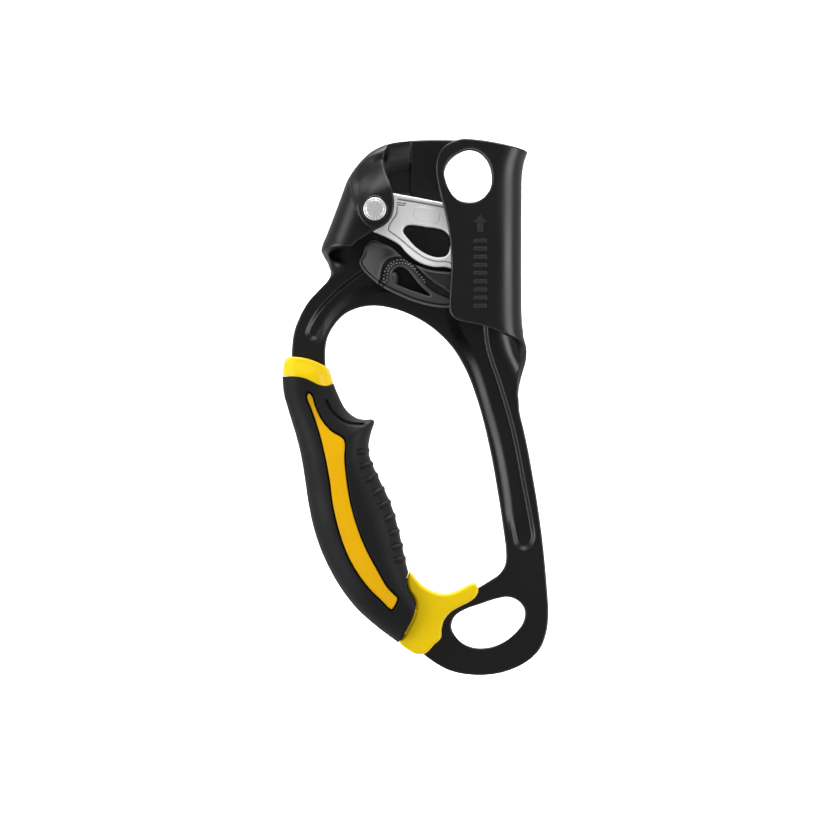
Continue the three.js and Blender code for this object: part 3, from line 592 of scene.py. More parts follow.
def finish_of(colour, dark, rough, metal, grain, bump, spec=0.5, toned=True):
    """A builder for a finish: two close tones, smudged roughness and a fine grain."""
    def build(tree, shader):
        place = node(tree, "ShaderNodeTexCoord").outputs["Object"]
        broad = node(tree, "ShaderNodeTexNoise", {"Vector": place, "Scale": 55, "Detail": 5})
        fine = node(tree, "ShaderNodeTexNoise", {"Vector": place, "Scale": grain, "Detail": 3})
        tone = node(tree, "ShaderNodeMix", {"Factor": broad.outputs["Fac"]}, data_type="RGBA")
        tone.inputs["A"].default_value = linear(*colour)
        tone.inputs["B"].default_value = linear(*dark)
        if toned:
            tone = shaded(tree, tone)
        tree.links.new(tone.outputs["Result"], shader.inputs["Base Color"])
        spread = node(tree, "ShaderNodeMapRange", {
            "Value": broad.outputs["Fac"], "From Min": 0.25, "From Max": 0.75,
            "To Min": rough - SMUDGE, "To Max": rough + SMUDGE})
        tree.links.new(spread.outputs["Result"], shader.inputs["Roughness"])
        relief = node(tree, "ShaderNodeBump", {
            "Height": fine.outputs["Fac"], "Strength": bump, "Distance": 0.0002})
        tree.links.new(relief.outputs["Normal"], shader.inputs["Normal"])
        shader.inputs["Metallic"].default_value = metal
        shader.inputs["Specular IOR Level"].default_value = spec
    return build


SMUDGE = 0.06                    # how far the roughness strays either way
# colour, darker colour, roughness, share of metal, grain to the metre, bump, specular level
FINISHES = {
    "frame_plate": finish_of((14, 14, 16), (10, 10, 11), 0.35, 0, 1400, 0.1, 0.48),
    "axle_steel": finish_of((222, 222, 224), (205, 206, 208), 0.4, 0.7, 1200, 0.04, toned=False),
    "spring_steel": finish_of((150, 152, 156), (128, 130, 134), 0.35, 1, 1200, 0.04, toned=False),
    "cam": finish_of((248, 248, 249), (240, 240, 242), 0.42, 0.15, 900, 0.06),
    "trigger": finish_of((44, 44, 46), (38, 38, 39), 0.4, 0, 1600, 0.15),
    "grip_core": finish_of((243, 207, 0), (240, 202, 0), 0.36, 0, 1500, 0.06, 0.3),
    "grip_rubber": finish_of((20, 21, 23), (14, 15, 17), 0.6, 0, 1500, 0.3, 0.22),
    "grip_inlay": finish_of((241, 184, 0), (237, 178, 0), 0.42, 0, 1500, 0.08, 0.2),
}


def turned_face(tree, shader):
    """Bright steel with the fine rings that a lathe leaves on an end face, and rays of painted sheen in its
    colour.
    """
    place = node(tree, "ShaderNodeTexCoord").outputs["Object"]
    centred = node(tree, "ShaderNodeVectorMath", {0: place}, operation="SUBTRACT")
    centred.inputs[1].default_value = (AXLE_X * MM, 0, AXLE_Z * MM)
    parts = node(tree, "ShaderNodeSeparateXYZ", {0: centred.outputs[0]})
    turn = node(tree, "ShaderNodeMath", {0: parts.outputs["X"], 1: parts.outputs["Z"]}, operation="ARCTAN2")
    far = node(tree, "ShaderNodeVectorMath", {0: centred.outputs[0]}, operation="LENGTH")
    painted_sheen_rays, rings = [
        node(tree, "ShaderNodeTexNoise", {"W": along, "Scale": scale, "Detail": fine}, noise_dimensions="1D")
        for along, scale, fine in ((turn.outputs[0], 9, 6), (far.outputs["Value"], 9000, 2))]
    # the rays are painted sheen: dull and bright streaks round the axle
    colour = node(tree, "ShaderNodeValToRGB", {"Fac": painted_sheen_rays.outputs["Fac"]})
    dull, bright = colour.color_ramp.elements
    dull.position, dull.color = 0.3, linear(176, 176, 178)
    bright.position, bright.color = 0.66, linear(250, 250, 250)
    tree.links.new(colour.outputs["Color"], shader.inputs["Base Color"])
    relief = node(tree, "ShaderNodeBump", {
        "Height": rings.outputs["Fac"], "Strength": 0.25, "Distance": 0.00005})
    tree.links.new(relief.outputs["Normal"], shader.inputs["Normal"])
    shader.inputs["Metallic"].default_value = 0.55
    shader.inputs["Roughness"].default_value = 0.38


MATERIALS = {slot: material(slot, build) for slot, build in FINISHES.items()}


def show(piece, slot, body, *nodes):
    """Puts a built piece in its finish, on its body, in place of the CAD nodes it stands for."""
    piece.data.materials.append(MATERIALS[slot])
    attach(piece, body)
    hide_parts(*nodes)


# ---- the axle and the cam
THICK = 5.5                      # half thickness of the cam and of the trigger
FACE_REACH, FACE_SLOPE, FACE_FIRST, FACE_LAST = 48.4, 0.36, 3, 26
TOOTH_ROWS, TOOTH_GAP = 8, 2.2
HUB_R, HUB_HOLE, WELL_IN, WELL_OUT = 7.2, 3.95, 4.7, 6.3    # radii of the hub and of its spring's well

CAM_TOP = [(-40.2, 7.2), (-35.9, 6), (-27.5, 4.4), (-18.9, 2.7), (-6, 0.2)]
CAM_BOTTOM = [
    (1, -24.2), (-4.6, -24.4), (-11, -22.9), (-16.7, -20.8), (-21.4, -20.7), (-25.8, -19.5), (-29.4, -17.3),
    (-32, -14.9), (-33.8, -12.8), (-38.9, -9.8), (-43.4, -7.9),
]
CAM_WINDOW = [
    (-32.7, -7.8), (-32.1, -6.2), (-30.5, -5.4), (-24.7, -6), (-18.2, -7.2), (-16, -9.3), (-15.8, -14.4),
    (-17.1, -16.7), (-20.7, -17.2), (-24.3, -16), (-27.6, -13.9), (-30.5, -10.9),
]
CAM_BORDER = [
    (-34.9, 1.2), (-35.2, -1.7), (-37.4, -4.9), (-38.1, -7.1), (-37, -8.2), (-34.5, -10), (-32.3, -11.8),
    (-29, -14.6), (-25.2, -17.2), (-21, -18.7), (-16.6, -18.9), (-12, -20.6), (-7, -22),
]


def face_point(angle, sunk=0):
    """A point of the toothed face, a logarithmic spiral; the angle is in degrees below the horizontal."""
    turn = math.radians(angle)
    radius = FACE_REACH * math.exp(FACE_SLOPE * (turn - math.atan(FACE_SLOPE))) - sunk
    return AXLE_X + radius * math.cos(turn), AXLE_Z - radius * math.sin(turn)


def tooth_list():
    """Angle and side of each tooth, in rows of four and three."""
    teeth = []
    for row in range(TOOTH_ROWS):
        count = 4 - row % 2
        angle = FACE_FIRST + (FACE_LAST - FACE_FIRST) / TOOTH_ROWS * (row + 0.5)
        teeth += [(angle, (i - (count - 1) / 2) * TOOTH_GAP) for i in range(count)]
    return teeth


def cam_fields():
    low, high = (-56, -36), (10, 14)
    turns = np.radians(np.linspace(262, 70, 40))
    hub = np.stack([AXLE_X + HUB_R * np.cos(turns), AXLE_Z + HUB_R * np.sin(turns)], 1).tolist()
    face = [face_point(a) for a in np.linspace(FACE_FIRST, FACE_LAST, 24)]
    border = hub + open_curve(CAM_TOP) + face + open_curve(CAM_BOTTOM)
    outline = outline_field(low, high, [border], step=0.2)
    window = outline_field(low, high, [smooth(CAM_WINDOW)], step=0.2)
    badge, lines, groove = Flat(low, high, 0.2), Flat(low, high, 0.2), Flat(low, high, 0.2)
    badge.add([(-26.4, -1.5), (-21.9, -2.4)], closed=False)
    groove.add(open_curve([(-34.6, 3.7), (-30.5, 3.1), (-24.5, 2.1), (-18, 1), (-8, -0.9)]), closed=False)
    for line in ([(-34.9, 2.55), (-31.7, 2.1)], [(-34.9, 1.75), (-32.3, 1.4)], open_curve(CAM_BORDER)):
        lines.add(line, closed=False)
    return outline, window, badge, lines, groove


CAM_CUT, WINDOW_CUT, BADGE, CAM_LINES, CAM_GROOVE = cam_fields()
TEETH = tooth_list()


def cam_field(x, y, z):
    pin = np.hypot(x - PIN_X, z - PIN_Z)
    flat = carve(carve(CAM_CUT(x, z), WINDOW_CUT(x, z)), pin - 4.7)
    relief = 0.3 * (1 - ramp(CAM_LINES(x, z), 0.05, 0.32)) + 0.4 * (1 - ramp(CAM_GROOVE(x, z), 0.1, 0.5))
    relief = relief - 0.16 * ramp(2.5 - BADGE(x, z), -0.25, 0.25)
    solid = plate(flat, np.abs(y) + relief, THICK, 0.8)
    if x.max() >= -8:
        solid = carve(solid, 6.5 - np.hypot(np.maximum(x, 0), y), 0.8)
    solid = join(solid, plate(np.maximum(lug_flat(x, z), -20), y, 1.6, 0.3))
    if x.max() > -3:
        for angle, side in TEETH:
            solid = join(solid, tooth_field(angle, side, x, y, z))
    hub = np.hypot(x - AXLE_X, z - AXLE_Z)
    well = np.maximum(np.maximum(WELL_IN - hub, hub - WELL_OUT), 0.6 - y)
    return np.maximum.reduce([solid, HUB_HOLE - hub, -well, PIN_HOLE - pin])


def cam_painted_shade(x, y, z):
    """Painted shade in the engraved lines."""
    line = np.maximum(1 - ramp(CAM_LINES(x, z), 0.05, 0.4), 1 - ramp(CAM_GROOVE(x, z), 0.1, 0.55))
    return 0.5 - 0.42 * line * (np.abs(y) > 3)


def lug_flat(x, z):
    boss = np.hypot(x - PIN_X, z - PIN_Z) - 3.6
    neck = np.maximum(np.abs(x - PIN_X) - 3.4, np.abs(z - PIN_Z - 3) - 3.6)
    return join(boss, neck, 1)


def tooth_field(angle, side, x, y, z):
    """A small cone that points away from the axle and leans downwards."""
    base_x, base_z = face_point(angle, 0.5)
    turn = math.radians(angle)
    out = (x - base_x) * math.cos(turn) - (z - base_z) * math.sin(turn)
    down = -(x - base_x) * math.sin(turn) - (z - base_z) * math.cos(turn)
    radius = np.hypot(y - side, down - 0.38 * out)
    cone = (radius - 0.95 + 0.55 * out) * 0.87
    return np.maximum(np.maximum(cone, out - 1.6), -out - 0.6)


# ---- the trigger
TRIGGER_OUTLINE = [
    (-47.3, -16), (-46.6, -13.4), (-45.2, -11.6), (-43.4, -11), (-39.9, -12.2), (-36.4, -13.9),
    (-33.7, -16.4), (-31.1, -18.6), (-28.4, -19.9), (-25.3, -21), (-21.8, -21.9), (-16.3, -22.4),
    (-12.6, -22.9), (-9.2, -22.9), (-7.4, -24.4), (-6.7, -26.7), (-7.5, -29.2), (-9.5, -30.7), (-11, -32.3),
    (-13.2, -34.4), (-16.3, -35.4), (-22.2, -34.9), (-26.7, -33.8), (-31.1, -32.3), (-35.5, -30.3),
    (-39.9, -28.1), (-44.3, -24.8), (-47.4, -21.6), (-48.7, -18.7),
]
TRIGGER_HOLE = [
    (-36.8, -24), (-36.1, -21.9), (-33.9, -20.7), (-31.6, -21.5), (-29.4, -23.8), (-26.5, -27.5),
    (-22.7, -31.2), (-28.3, -29.6), (-32.7, -28), (-35.8, -26.4),
]
TRIGGER_DISH = [
    (-41, -24.4), (-40.8, -23), (-39.9, -19.8), (-37.7, -17.6), (-33.8, -17), (-30.1, -18.1),
    (-27.5, -20.8), (-24.4, -23.9), (-20.9, -26.7), (-16.5, -29.6), (-13, -33), (-17, -37.5), (-29, -37),
    (-38, -32), (-41.8, -28),
]
TRIGGER_COLLAR = [
    (-39.2, -27.6), (-38, -25.6), (-37.6, -23.6), (-37.3, -21.8), (-35.8, -20.2), (-33.6, -19.8),
    (-31.2, -20.2), (-29, -22), (-26.6, -24.9), (-23.8, -28), (-20, -30.6), (-15, -33), (-14, -38),
    (-28, -39), (-41, -33), (-41, -28.6),
]
BEAD_PATHS = [
    [(-39.4, -26.2), (-39.6, -23.6), (-38.5, -20.9), (-36.6, -19), (-33.9, -18.1), (-31.2, -18.7),
     (-29, -20.6), (-27, -23.2), (-25, -25.3)],
    [(-38.6, -26.6), (-38.4, -24.3), (-37.9, -21.6), (-36, -19.7), (-33.4, -19.2), (-30.8, -19.8),
     (-28.8, -21.7), (-26.6, -24.4), (-24.8, -26.3)],
]


def evenly(points, spacing):
    """Points at even spacing along a smooth open curve."""
    line = smooth(points, 20, closed=False)
    run = np.concatenate([[0], np.cumsum(np.linalg.norm(np.diff(line, axis=0), axis=1))])
    at = np.linspace(0, run[-1], int(round(run[-1] / spacing)) + 1)
    return np.stack([np.interp(at, run, line[:, i]) for i in (0, 1)], 1)


def trigger_fields():
    low, high = (-54, -41), (0, -5)
    cuts = [outline_field(low, high, [smooth(outline)], step=0.2)
            for outline in (TRIGGER_OUTLINE, TRIGGER_HOLE, TRIGGER_DISH, TRIGGER_COLLAR)]
    beads = Flat(low, high, 0.15)
    for path, spacing in zip(BEAD_PATHS, (1.25, 1.1)):
        for bx, bz in evenly(path, spacing):
            beads.value = np.minimum(beads.value, np.hypot(beads.u - bx, beads.v - bz))
    return (*cuts, beads)


TRIGGER_CUT, HOLE_CUT, DISH_CUT, COLLAR_CUT, BEADS = trigger_fields()


def trigger_shape(x, z):
    """How much there is of the bead channel, its lip, the sunk panels and the line inside the edge."""
    dish_edge, rim = DISH_CUT(x, z), TRIGGER_CUT(x, z)
    channel = ramp(-dish_edge, -0.1, 0.6) * ramp(COLLAR_CUT(x, z), -0.2, 0.5)
    lip = np.exp(-((dish_edge - 0.35) / 0.35) ** 2)
    panel = ramp(-rim, 0.9, 1.3) * ramp(dish_edge, 0.2, 0.6) * (1 - lip)
    line = np.exp(-((rim + 1) / 0.24) ** 2) * ramp(-0.5 * x - z, 37, 38.5)
    return channel, lip, panel, line


def trigger_field(x, y, z):
    flat = carve(TRIGGER_CUT(x, z), HOLE_CUT(x, z))
    short = np.maximum(-38 - x, 0)
    taper = THICK - 0.44 * short ** 2 / (short + 2.5)
    channel, _, panel, line = trigger_shape(x, z)
    bead = 0.6 * np.sqrt(np.maximum(1 - (BEADS(x, z) / 0.55) ** 2, 0))
    sunk = np.maximum(1.5 * channel - bead * channel, 0) + 0.4 * panel + 0.5 * line
    solid = meet(flat, np.abs(y) - taper + sunk, 0.7 + 0.8 * (1 - ramp(-0.5 * x - z, 32, 36)))
    slot = np.maximum(np.abs(y) - 3.6, -17.4 - x)
    return np.maximum.reduce([solid, -slot, PIN_HOLE - np.hypot(x - PIN_X, z - PIN_Z)])


def trigger_painted_light_and_shade(x, y, z):
    """Painted highlights on the lips, the edges, the collar and the beads, and painted shade in the channel round
    the beads.
    """
    channel, lip, _, line = trigger_shape(x, z)
    bead = (1 - ramp(BEADS(x, z), 0.25, 0.5)) * channel
    collar = ramp(-COLLAR_CUT(x, z), 0, 0.4) * (1 - line)
    edge = np.exp(-((TRIGGER_CUT(x, z) + 0.4) / 0.3) ** 2)
    # painted highlights on the lip, the outer edge, the collar and the beads
    painted_light = 0.06 * lip + 0.045 * edge + 0.035 * collar + 0.22 * bead
    return 0.5 + (painted_light - 0.34 * np.maximum(channel, line) * (1 - bead)) * (np.abs(y) > 2)


# ---- the grip
GRIP_LEFT = [
    (-76.7, -60.8), (-76.2, -66.5), (-75, -71), (-74.2, -73.6), (-73.4, -76.4), (-71.9, -81.2),
    (-69.9, -89.2), (-68.4, -98.3), (-67, -107.7), (-64.6, -117.9), (-61, -127.3), (-55.6, -137.1),
    (-49.4, -145.1), (-42.1, -151.6), (-34.6, -157.2),
]
GRIP_RIGHT = [
    (-58.3, -61.6), (-57.9, -63), (-56.2, -67.2), (-53.6, -72.2), (-49.8, -75.3), (-46.4, -76),
    (-43.6, -75.9), (-43.1, -76.9), (-44.2, -80.5), (-45, -84), (-45.1, -88.5), (-41.2, -98), (-37, -107),
    (-34.1, -117), (-31.9, -127), (-30.7, -131.6), (-29.4, -135.8), (-27.2, -139.8), (-25, -143.6),
]
COLLAR_LEFT = [(-74.9, -53.2), (-75.9, -54.6), (-76.4, -57.6), (-76.6, -60.3), (-76.5, -64)]
COLLAR_RIGHT = [(-60.2, -56.6), (-59.4, -58.2), (-58.7, -60.2), (-57.9, -63), (-57, -65)]
BRACKET = [
    (-29.5, -132), (-30.1, -131.3), (-30.6, -132), (-31.3, -134.4), (-30.6, -138.1), (-28.7, -141.1),
    (-28, -144), (-28.7, -147.3), (-31.3, -152.6), (-33.7, -156.6), (-34.1, -157.3), (-33.6, -157.8),
    (-30.6, -160), (-27.6, -161.4), (-24.3, -160.9), (-21.7, -158.2), (-18.9, -155.4), (-18.7, -152.4),
    (-17.8, -149.1), (-15.6, -146.2), (-12, -144), (-8.4, -142.2), (-6.1, -140.2), (-5.3, -137.5),
    (-6.7, -135.5), (-8.7, -136.1), (-12.7, -138.2), (-17.1, -139.4), (-21.7, -138.6), (-25.8, -136.2),
]
STRIP = [
    (-67, -65.8), (-68.1, -67.6), (-66.2, -72.9), (-63.9, -79.7), (-61.7, -88.1), (-59.8, -98.1),
    (-58.6, -107), (-56.5, -116), (-53.6, -124.4), (-49.7, -131.7), (-45.4, -137.5), (-40.3, -142.6),
    (-38.6, -144.4), (-36.9, -145.5), (-36.1, -145.1), (-34.2, -141.6), (-34.1, -140.8), (-38, -136.6),
    (-41.8, -130), (-45.4, -123.3), (-48.4, -116), (-50.8, -108.1), (-52.4, -99.6), (-53.4, -90.6),
    (-53.6, -83.2), (-58.5, -79.7), (-61.7, -75.9), (-63.9, -71.4), (-65.4, -67),
]
RIB_MARKS = [
    (-48.4, -87.7), (-47.6, -92.8), (-45.8, -97.9), (-42.8, -102.6), (-40.7, -107.3), (-38.5, -112),
    (-36.7, -117.1), (-35.8, -122.2), (-35, -126.9),
]


GRIP_LOW, GRIP_HIGH = (-84, -172), (-16, -44)
ROUND = 2.6                      # section of the grip: 2 is an ellipse, and more is squarer
# depths under the grip's outer surface
RUBBER, CORE_IN, RECESS, INLAY_TOP, INLAY_BACK = 2.4, 2.7, 1.9, 0.45, 1.75
FAR_LEFT, FAR_RIGHT = -160, 60


def side_field(points, far):
    """Signed distance to one side of the grip, positive towards its middle."""
    line = smooth(points, closed=False)
    first, last = line[0] - line[1], line[-1] - line[-2]
    start = line[0] + 14 * first / np.linalg.norm(first)
    end = line[-1] + 14 * last / np.linalg.norm(last)
    outline = [(far, start[1] + 40), start, *line, end, (far, end[1] - 40)]
    return outline_field(GRIP_LOW, GRIP_HIGH, [outline], step=0.4)


SIDES = [side_field(GRIP_LEFT, FAR_LEFT), side_field(GRIP_RIGHT, FAR_RIGHT)]
COLLAR_SIDES = [side_field(COLLAR_LEFT, FAR_LEFT), side_field(COLLAR_RIGHT, FAR_RIGHT)]
SEAM = [
    (-90, -60.2), (-80, -60.2), (-76.5, -60.3), (-70.9, -60.6), (-68.3, -61.1), (-65.7, -62.3),
    (-63.5, -63.4), (-61.7, -63.9), (-59.9, -63.8), (-58.2, -62.9), (-54, -61), (-48, -58),
]
COLLAR_TOP = [
    (-48, -62), (-54, -59.6), (-58.5, -57.6), (-61, -56.5), (-65.7, -54.4), (-70.1, -53.4), (-74.8, -53.2),
    (-80, -53.6), (-90, -55),
]


def grip_outline(points, step=0.4):
    return outline_field(GRIP_LOW, GRIP_HIGH, [points], step=step)


def seam(lower):
    """The line where the collar meets the rubber, set lower by so much."""
    return (smooth(SEAM, closed=False) - (0, lower)).tolist()


GRIP_ENDS = grip_outline(seam(0.06) + [
    (-10, -80), (-10, -110), (-24.3, -137.5), (-24.5, -146), (-28.5, -153), (-34.2, -157),
    (-38.3, -164.3), (-95, -164)])
CORE_ENDS = grip_outline([
    (-90, -54), (-50, -60), (-10, -80), (-10, -110), (-20.3, -139.5), (-34.3, -166.3), (-95, -166)])
COLLAR_FOOT = grip_outline(seam(-0.06) + [(-48, -30), (-90, -30)], 0.3)
COLLAR_HEAD = grip_outline(open_curve(COLLAR_TOP) + [(-90, -100), (-48, -100)], 0.3)
STRIP_CUT = grip_outline(smooth(STRIP), 0.25)
BRACKET_CUT = outline_field((-38, -166), (0, -126), [smooth(BRACKET)], step=0.25)


def grip_half(z):
    """Half thickness of the grip at a height: slim at the collar and the foot."""
    share = np.clip((-61.7 - z) / 89, 0, 1)
    return 14 - 3.6 * np.exp(-((share / 0.16) ** 2)) - 4.2 * np.maximum(0, (share - 0.72) / 0.28) ** 1.5


def rounded_bar(sides, half, x, y, z):
    """A bar with rounded sections between two side curves, as an approximate distance."""
    left, right = sides[0](x, z), sides[1](x, z)
    width = np.maximum(left + right, 4)
    u, v = np.abs(left - right) / width, np.abs(y - PLATE_Y) / half
    level = np.maximum((u ** ROUND + v ** ROUND) ** (1 / ROUND), 1e-4)
    slope = np.hypot((u / level) ** (ROUND - 1) * 2 / width, (v / level) ** (ROUND - 1) / half)
    return (level - 1) / np.maximum(slope, 1e-3)


def grip_body(x, y, z):
    return rounded_bar(SIDES, grip_half(z), x, y, z)


def arm_room(x, y, z):
    """The space of the frame's arm inside the grip."""
    return np.maximum(CHANNEL_CUT(x, z) - 0.3, np.abs(y - PLATE_Y) - SHEET / 2 - 0.3)


def rubber_field(x, y, z):
    body = grip_body(x, y, z)
    solid = meet(body, GRIP_ENDS(x, z), 0.15) + CREASES(x, z) - RIBS(x, z)
    recess = meet(STRIP_CUT(x, z), -(body + RECESS), 0.2)
    solid = carve(solid, recess, 0.5)
    room = meet(body + RUBBER, CORE_ENDS(x, z), 0.3)
    solid = carve(solid, BRACKET_CUT(x, z) - 0.15, 0.3)
    return np.maximum(np.maximum(solid, -room), -arm_room(x, y, z))


def rubber_painted_shade(x, y, z):
    """Painted shade in the creases and in the recess round each inlay."""
    return 0.5 - 0.5 * np.maximum(np.clip(CREASES(x, z) / 0.5, 0, 1), 1 - ramp(STRIP_CUT(x, z), -0.1, 0.3))


def rib_fields():
    """Height of the finger ribs, and depth of the creases beside them and under the guard horn."""
    ribs, creases = Flat(GRIP_LOW, GRIP_HIGH, 0.25), Flat(GRIP_LOW, GRIP_HIGH, 0.25)
    ribs.value[:], creases.value[:] = 0, 0
    marks = np.array(RIB_MARKS)
    run = np.gradient(marks, axis=0)
    run /= np.linalg.norm(run, axis=1)[:, None]
    for (mx, mz), (tx, tz) in zip(marks, run):
        across = (ribs.v - mz) * tx - (ribs.u - mx) * tz
        down = (ribs.u - mx) * tx + (ribs.v - mz) * tz
        bar = np.exp(-(down / 0.8) ** 2) * ramp(across, -0.9, 1.2)
        ribs.value += 0.5 * bar
        line = np.exp(-((np.abs(down) - 0.75) / 0.28) ** 2)
        creases.value += 0.55 * line * ramp(across, -1.3, -0.8) * (1 - ramp(across, 1, 3))
    hook = Flat(GRIP_LOW, GRIP_HIGH, 0.25)
    hook.add(open_curve([
        (-60.6, -69.2), (-58.8, -72.5), (-56.6, -75), (-54.1, -76.7), (-51.3, -77.6), (-47.2, -77.8),
    ]), closed=False)
    creases.value += 0.95 * np.exp(-(hook.value / 0.42) ** 2)
    return ribs, creases


RIBS, CREASES = rib_fields()


def core_field(x, y, z):
    inside = meet(grip_body(x, y, z) + CORE_IN, CORE_ENDS(x, z), 0.3)
    inside = np.maximum(inside, np.abs(y - PLATE_Y) - 12.1 + 6 * ramp(-z, 120, 138))
    collar_half = 8.6 + 1.8 * ramp(-z, 53.4, 60.5)
    collar = meet(rounded_bar(COLLAR_SIDES, collar_half, x, y, z), COLLAR_HEAD(x, z), 0.8)
    collar = meet(collar, COLLAR_FOOT(x, z), 0.12)
    foot = plate(BRACKET_CUT(x, z), y - PLATE_Y, 6.4, 1.3)
    return np.maximum(join(join(inside, collar), foot), -arm_room(x, y, z))


def inlay_field(side):
    def field(x, y, z):
        body = grip_body(x, y, z)
        solid = meet(meet(STRIP_CUT(x, z) + 0.55, body + INLAY_TOP, 0.5), -(body + INLAY_BACK), 0.1)
        return np.maximum(solid, 4 - side * (y - PLATE_Y))
    return field


def inlay_painted_shade(x, y, z):
    """The narrow top of the inlay is darkened with painted shade."""
    return 0.5 - 0.18 * ramp(z, -82, -68)


# ---- relief marks on the flap
MARK_X = -4.75


def mark_outlines():
    """A plain arrow that shows which way is up, over a row of short bars."""
    arrow = [(0, 0), (2.5, -3), (0.95, -3), (0.95, -6.4), (-0.95, -6.4), (-0.95, -3), (-2.5, -3)]
    outlines = [[(MARK_X + x, z - 1.8) for x, z in arrow]]
    for i in range(9):
        top = -10.6 - 2.95 * i
        outlines.append([(MARK_X + x, top - z) for x, z in ((-2.4, 0), (2.4, 0), (2.4, 1.5), (-2.4, 1.5))])
    return outlines


MARKS = outline_field((-10, -40), (0, 2), mark_outlines(), step=0.15)


def mark_field(x, y, z):
    return plate(MARKS(x, z), y + PLATE_OUT, 0.3, 0.2)


def mark_tone(x, y, z):
    return 0.5 + 0.022 * (y < -10.55)


# ---- the pieces
def turned_piece(name, profile, count=72):
    """A piece turned about the cam's axle, its profile given as (radius, y) from axis to axis."""
    angles = np.linspace(0, 2 * math.pi, count, endpoint=False)
    points = [(AXLE_X, profile[0][1], AXLE_Z)]
    for radius, y in profile[1:-1]:
        points += [(AXLE_X + radius * math.cos(a), y, AXLE_Z + radius * math.sin(a)) for a in angles]
    points.append((AXLE_X, profile[-1][1], AXLE_Z))
    faces = [(0, 1 + i, 1 + (i + 1) % count) for i in range(count)]
    for ring in range(len(profile) - 3):
        for i in range(count):
            a, b = 1 + ring * count + i, 1 + ring * count + (i + 1) % count
            faces.append((a, a + count, b + count, b))
    end, last = len(points) - 1, 1 + (len(profile) - 3) * count
    faces += [(end, last + (i + 1) % count, last + i) for i in range(count)]
    return placed(name, toned_mesh(name, np.array(points), faces, np.full(len(points), 0.5)))


def built(node_name, suffix, field, slot, body, step, margin=(0.6, 0.6, 0.6), tone=None):
    low, high = box_mm(node_name)
    margin = np.array(margin)
    piece = surface(f"{node_name}_{suffix}", field, low - margin, high + margin, step, tone)
    show(piece, slot, body, node_name)


# The steps of the frame and the rubber keep each under 200,000 triangles.
built("frame_plate", "formed", frame_field, "frame_plate", "frame", 0.56, (0.6, 2, 0.6), frame_painted_light_and_shade)
built("cam", "cast", cam_field, "cam", "cam", 0.27, tone=cam_painted_shade)
built("trigger", "moulded", trigger_field, "trigger", "trigger", 0.2, tone=trigger_painted_light_and_shade)
built("grip_rubber", "moulded", rubber_field, "grip_rubber", "frame", 0.47, (1.2, 1.2, 1.2), rubber_painted_shade)
built("grip_core", "moulded", core_field, "grip_core", "frame", 0.45)
built("grip_inlay_front", "moulded", inlay_field(-1), "grip_inlay", "frame", 0.4, tone=inlay_painted_shade)
built("grip_inlay_rear", "moulded", inlay_field(1), "grip_inlay", "frame", 0.4, tone=inlay_painted_shade)

marks = surface("flap_marks", mark_field, (MARK_X - 3, -10.7, -37), (MARK_X + 3, -10.1, -1), 0.17, mark_tone)
marks.data.materials.append(MATERIALS["frame_plate"])
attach(marks, "frame")

# Profiles as (radius, y): the rivet's front head, its rear head, and the seat under the front one.
HEAD = [
    (0, 0), (2.9, 0), (3.1, 0.06), (3.25, 0.2), (3.4, 0.22), (3.9, 0.3), (4.08, 0.45), (4.15, 0.7),
    (4.15, 1.5), (4.05, 1.6), (2.6, 1.62),
]
TAIL = [(2.6, -1.12), (4.05, -1.1), (4.15, -1), (4.1, -0.6), (3.4, -0.05), (3.2, 0), (0, 0)]
SEAT = [(0, 1.9), (4.2, 1.9), (4.3, 1.15), (4.7, 1.15), (4.9, 1.4), (4.9, 2.6), (0, 2.6)]
front, back = [(0, corner[1]) for corner in box_mm("cam_axle")]
rivet = turned_piece("cam_axle_turned", np.vstack([np.array(HEAD) + front, np.array(TAIL) + back]))
show(rivet, "axle_steel", "frame", "cam_axle")
rivet.data.materials[0] = material("turned_steel", turned_face)
show(turned_piece("rivet_seat", np.array(SEAT) + front), "frame_plate", "frame")

for entry in frame["record"]["subparts"]:
    kept = frame["nodes"][entry["node"]]
    if not kept.hide_render:
        for held in kept.material_slots:
            held.material = MATERIALS[entry["material_slot"]]


# ---- floor, light and camera
def soft_box(name, place, target, size, power):
    data = bpy.data.lights.new(name, "AREA")
    data.shape = "RECTANGLE"
    data.size, data.size_y = size
    data.energy = power
    lamp = placed(name, data)
    lamp.location = place
    lamp.rotation_euler = (Vector(target) - Vector(place)).to_track_quat("-Z", "Y").to_euler()
    return lamp


def sheet_of(name, line):
    """A wide sheet along a line of (y, z), in metres."""
    mesh = bpy.data.meshes.new(name)
    points = [(x, y, z) for y, z in line for x in (-WIDE, WIDE)]
    mesh.from_pydata(points, [], [(i, i + 1, i + 3, i + 2) for i in range(0, len(points) - 2, 2)])
    return placed(name, mesh)


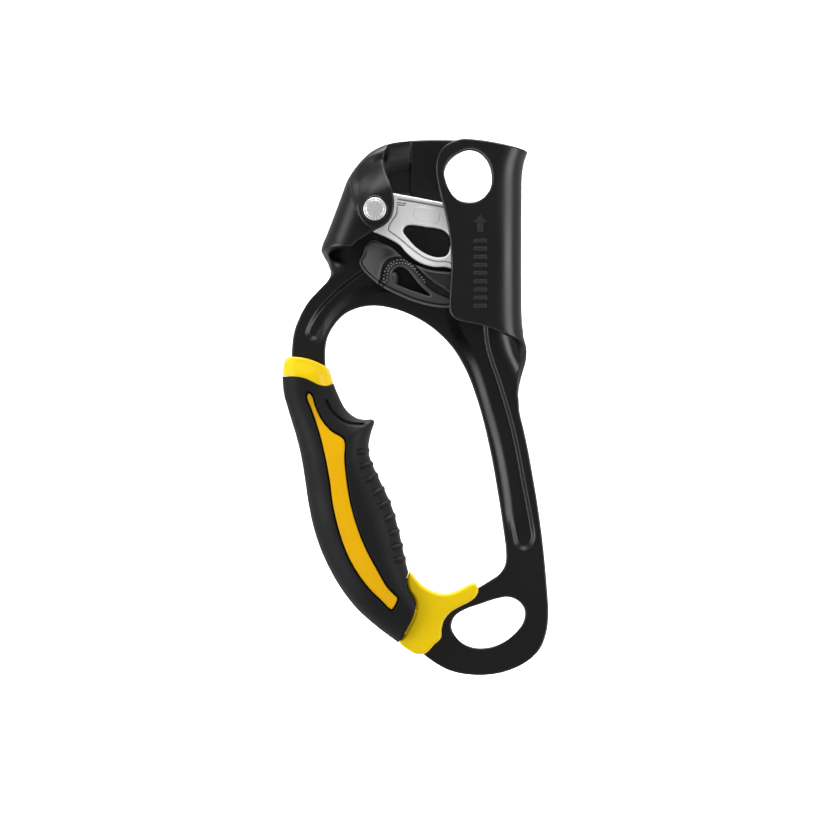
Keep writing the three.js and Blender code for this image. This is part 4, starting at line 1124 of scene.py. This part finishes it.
AIM = Vector((-28.7, 0, -74)) * MM
FLOOR_Z, WALL_Y, WALL_TOP, WIDE = -0.23, 2.2, 4, 6
floor = sheet_of("floor", [(0, FLOOR_Z), (WALL_Y, FLOOR_Z), (WALL_Y, WALL_TOP)])
near_floor = sheet_of("near_floor", [(-WIDE, FLOOR_Z), (0, FLOOR_Z)])
for sheet, glows in ((floor, 0), (near_floor, 1)):
    paper = material(f"{sheet.name}_paper", lambda tree, shader: None)
    shader = paper.node_tree.nodes["Principled BSDF"]
    for key, value in (("Base Color", (0.9, 0.9, 0.9, 1)), ("Roughness", 0.9),
                       ("Emission Color", (1, 1, 1, 1)), ("Emission Strength", glows)):
        shader.inputs[key].default_value = value
    sheet.data.materials.append(paper)
near_floor.visible_diffuse = near_floor.visible_glossy = floor.visible_glossy = False

soft_box("left_box", (-0.85, -0.42, -0.18), AIM, (0.5, 1.1), 8.6)
soft_box("right_box", (0.85, -0.42, -0.2), AIM, (0.5, 1.1), 8.4)
soft_box("top_box", (0, -0.42, 0.85), AIM, (0.9, 0.4), 5.8)
soft_box("back_box", (0, 0.9, 1.7), (0, 1.35, -0.17), (2.6, 1.6), 75).data.spread = math.radians(110)

world = bpy.data.worlds.new("studio")
bpy.context.scene.world = world
world.use_nodes = True
sky = world.node_tree
toward = node(sky, "ShaderNodeSeparateXYZ", {0: node(sky, "ShaderNodeTexCoord").outputs["Generated"]})
glow = node(sky, "ShaderNodeMapRange", {
    "Value": toward.outputs["Y"], "From Min": -0.2, "From Max": 0.8, "To Min": 0.2, "To Max": 0.6})
from_floor = node(sky, "ShaderNodeMapRange", {
    "Value": toward.outputs["Z"], "From Min": 0.1, "From Max": -0.7, "To Min": 0, "To Max": 0.42})
around = node(
    sky, "ShaderNodeMath", {0: glow.outputs["Result"], 1: from_floor.outputs["Result"]}, operation="ADD")
seen = node(sky, "ShaderNodeLightPath").outputs["Is Camera Ray"]
strength = node(sky, "ShaderNodeMix", {"Factor": seen, "A": around.outputs[0], "B": 1.05})
backdrop = sky.nodes["Background"]
sky.links.new(strength.outputs["Result"], backdrop.inputs["Strength"])
backdrop.inputs["Color"].default_value = (1, 1, 1, 1)

LENS, SENSOR = 280, 36
SPAN = 300.6 * MM                # width that the camera sees where y is 0
lens = bpy.data.cameras.new("camera")
lens.lens, lens.sensor_width = LENS, SENSOR
lens.clip_start, lens.clip_end = 0.1, 20
camera = placed("camera", lens)
camera.location = AIM - Vector((0, SPAN * LENS / SENSOR, 0))
camera.rotation_euler = (math.pi / 2, 0, 0)
bpy.context.scene.camera = camera
bpy.context.scene.view_settings.view_transform = "Standard"
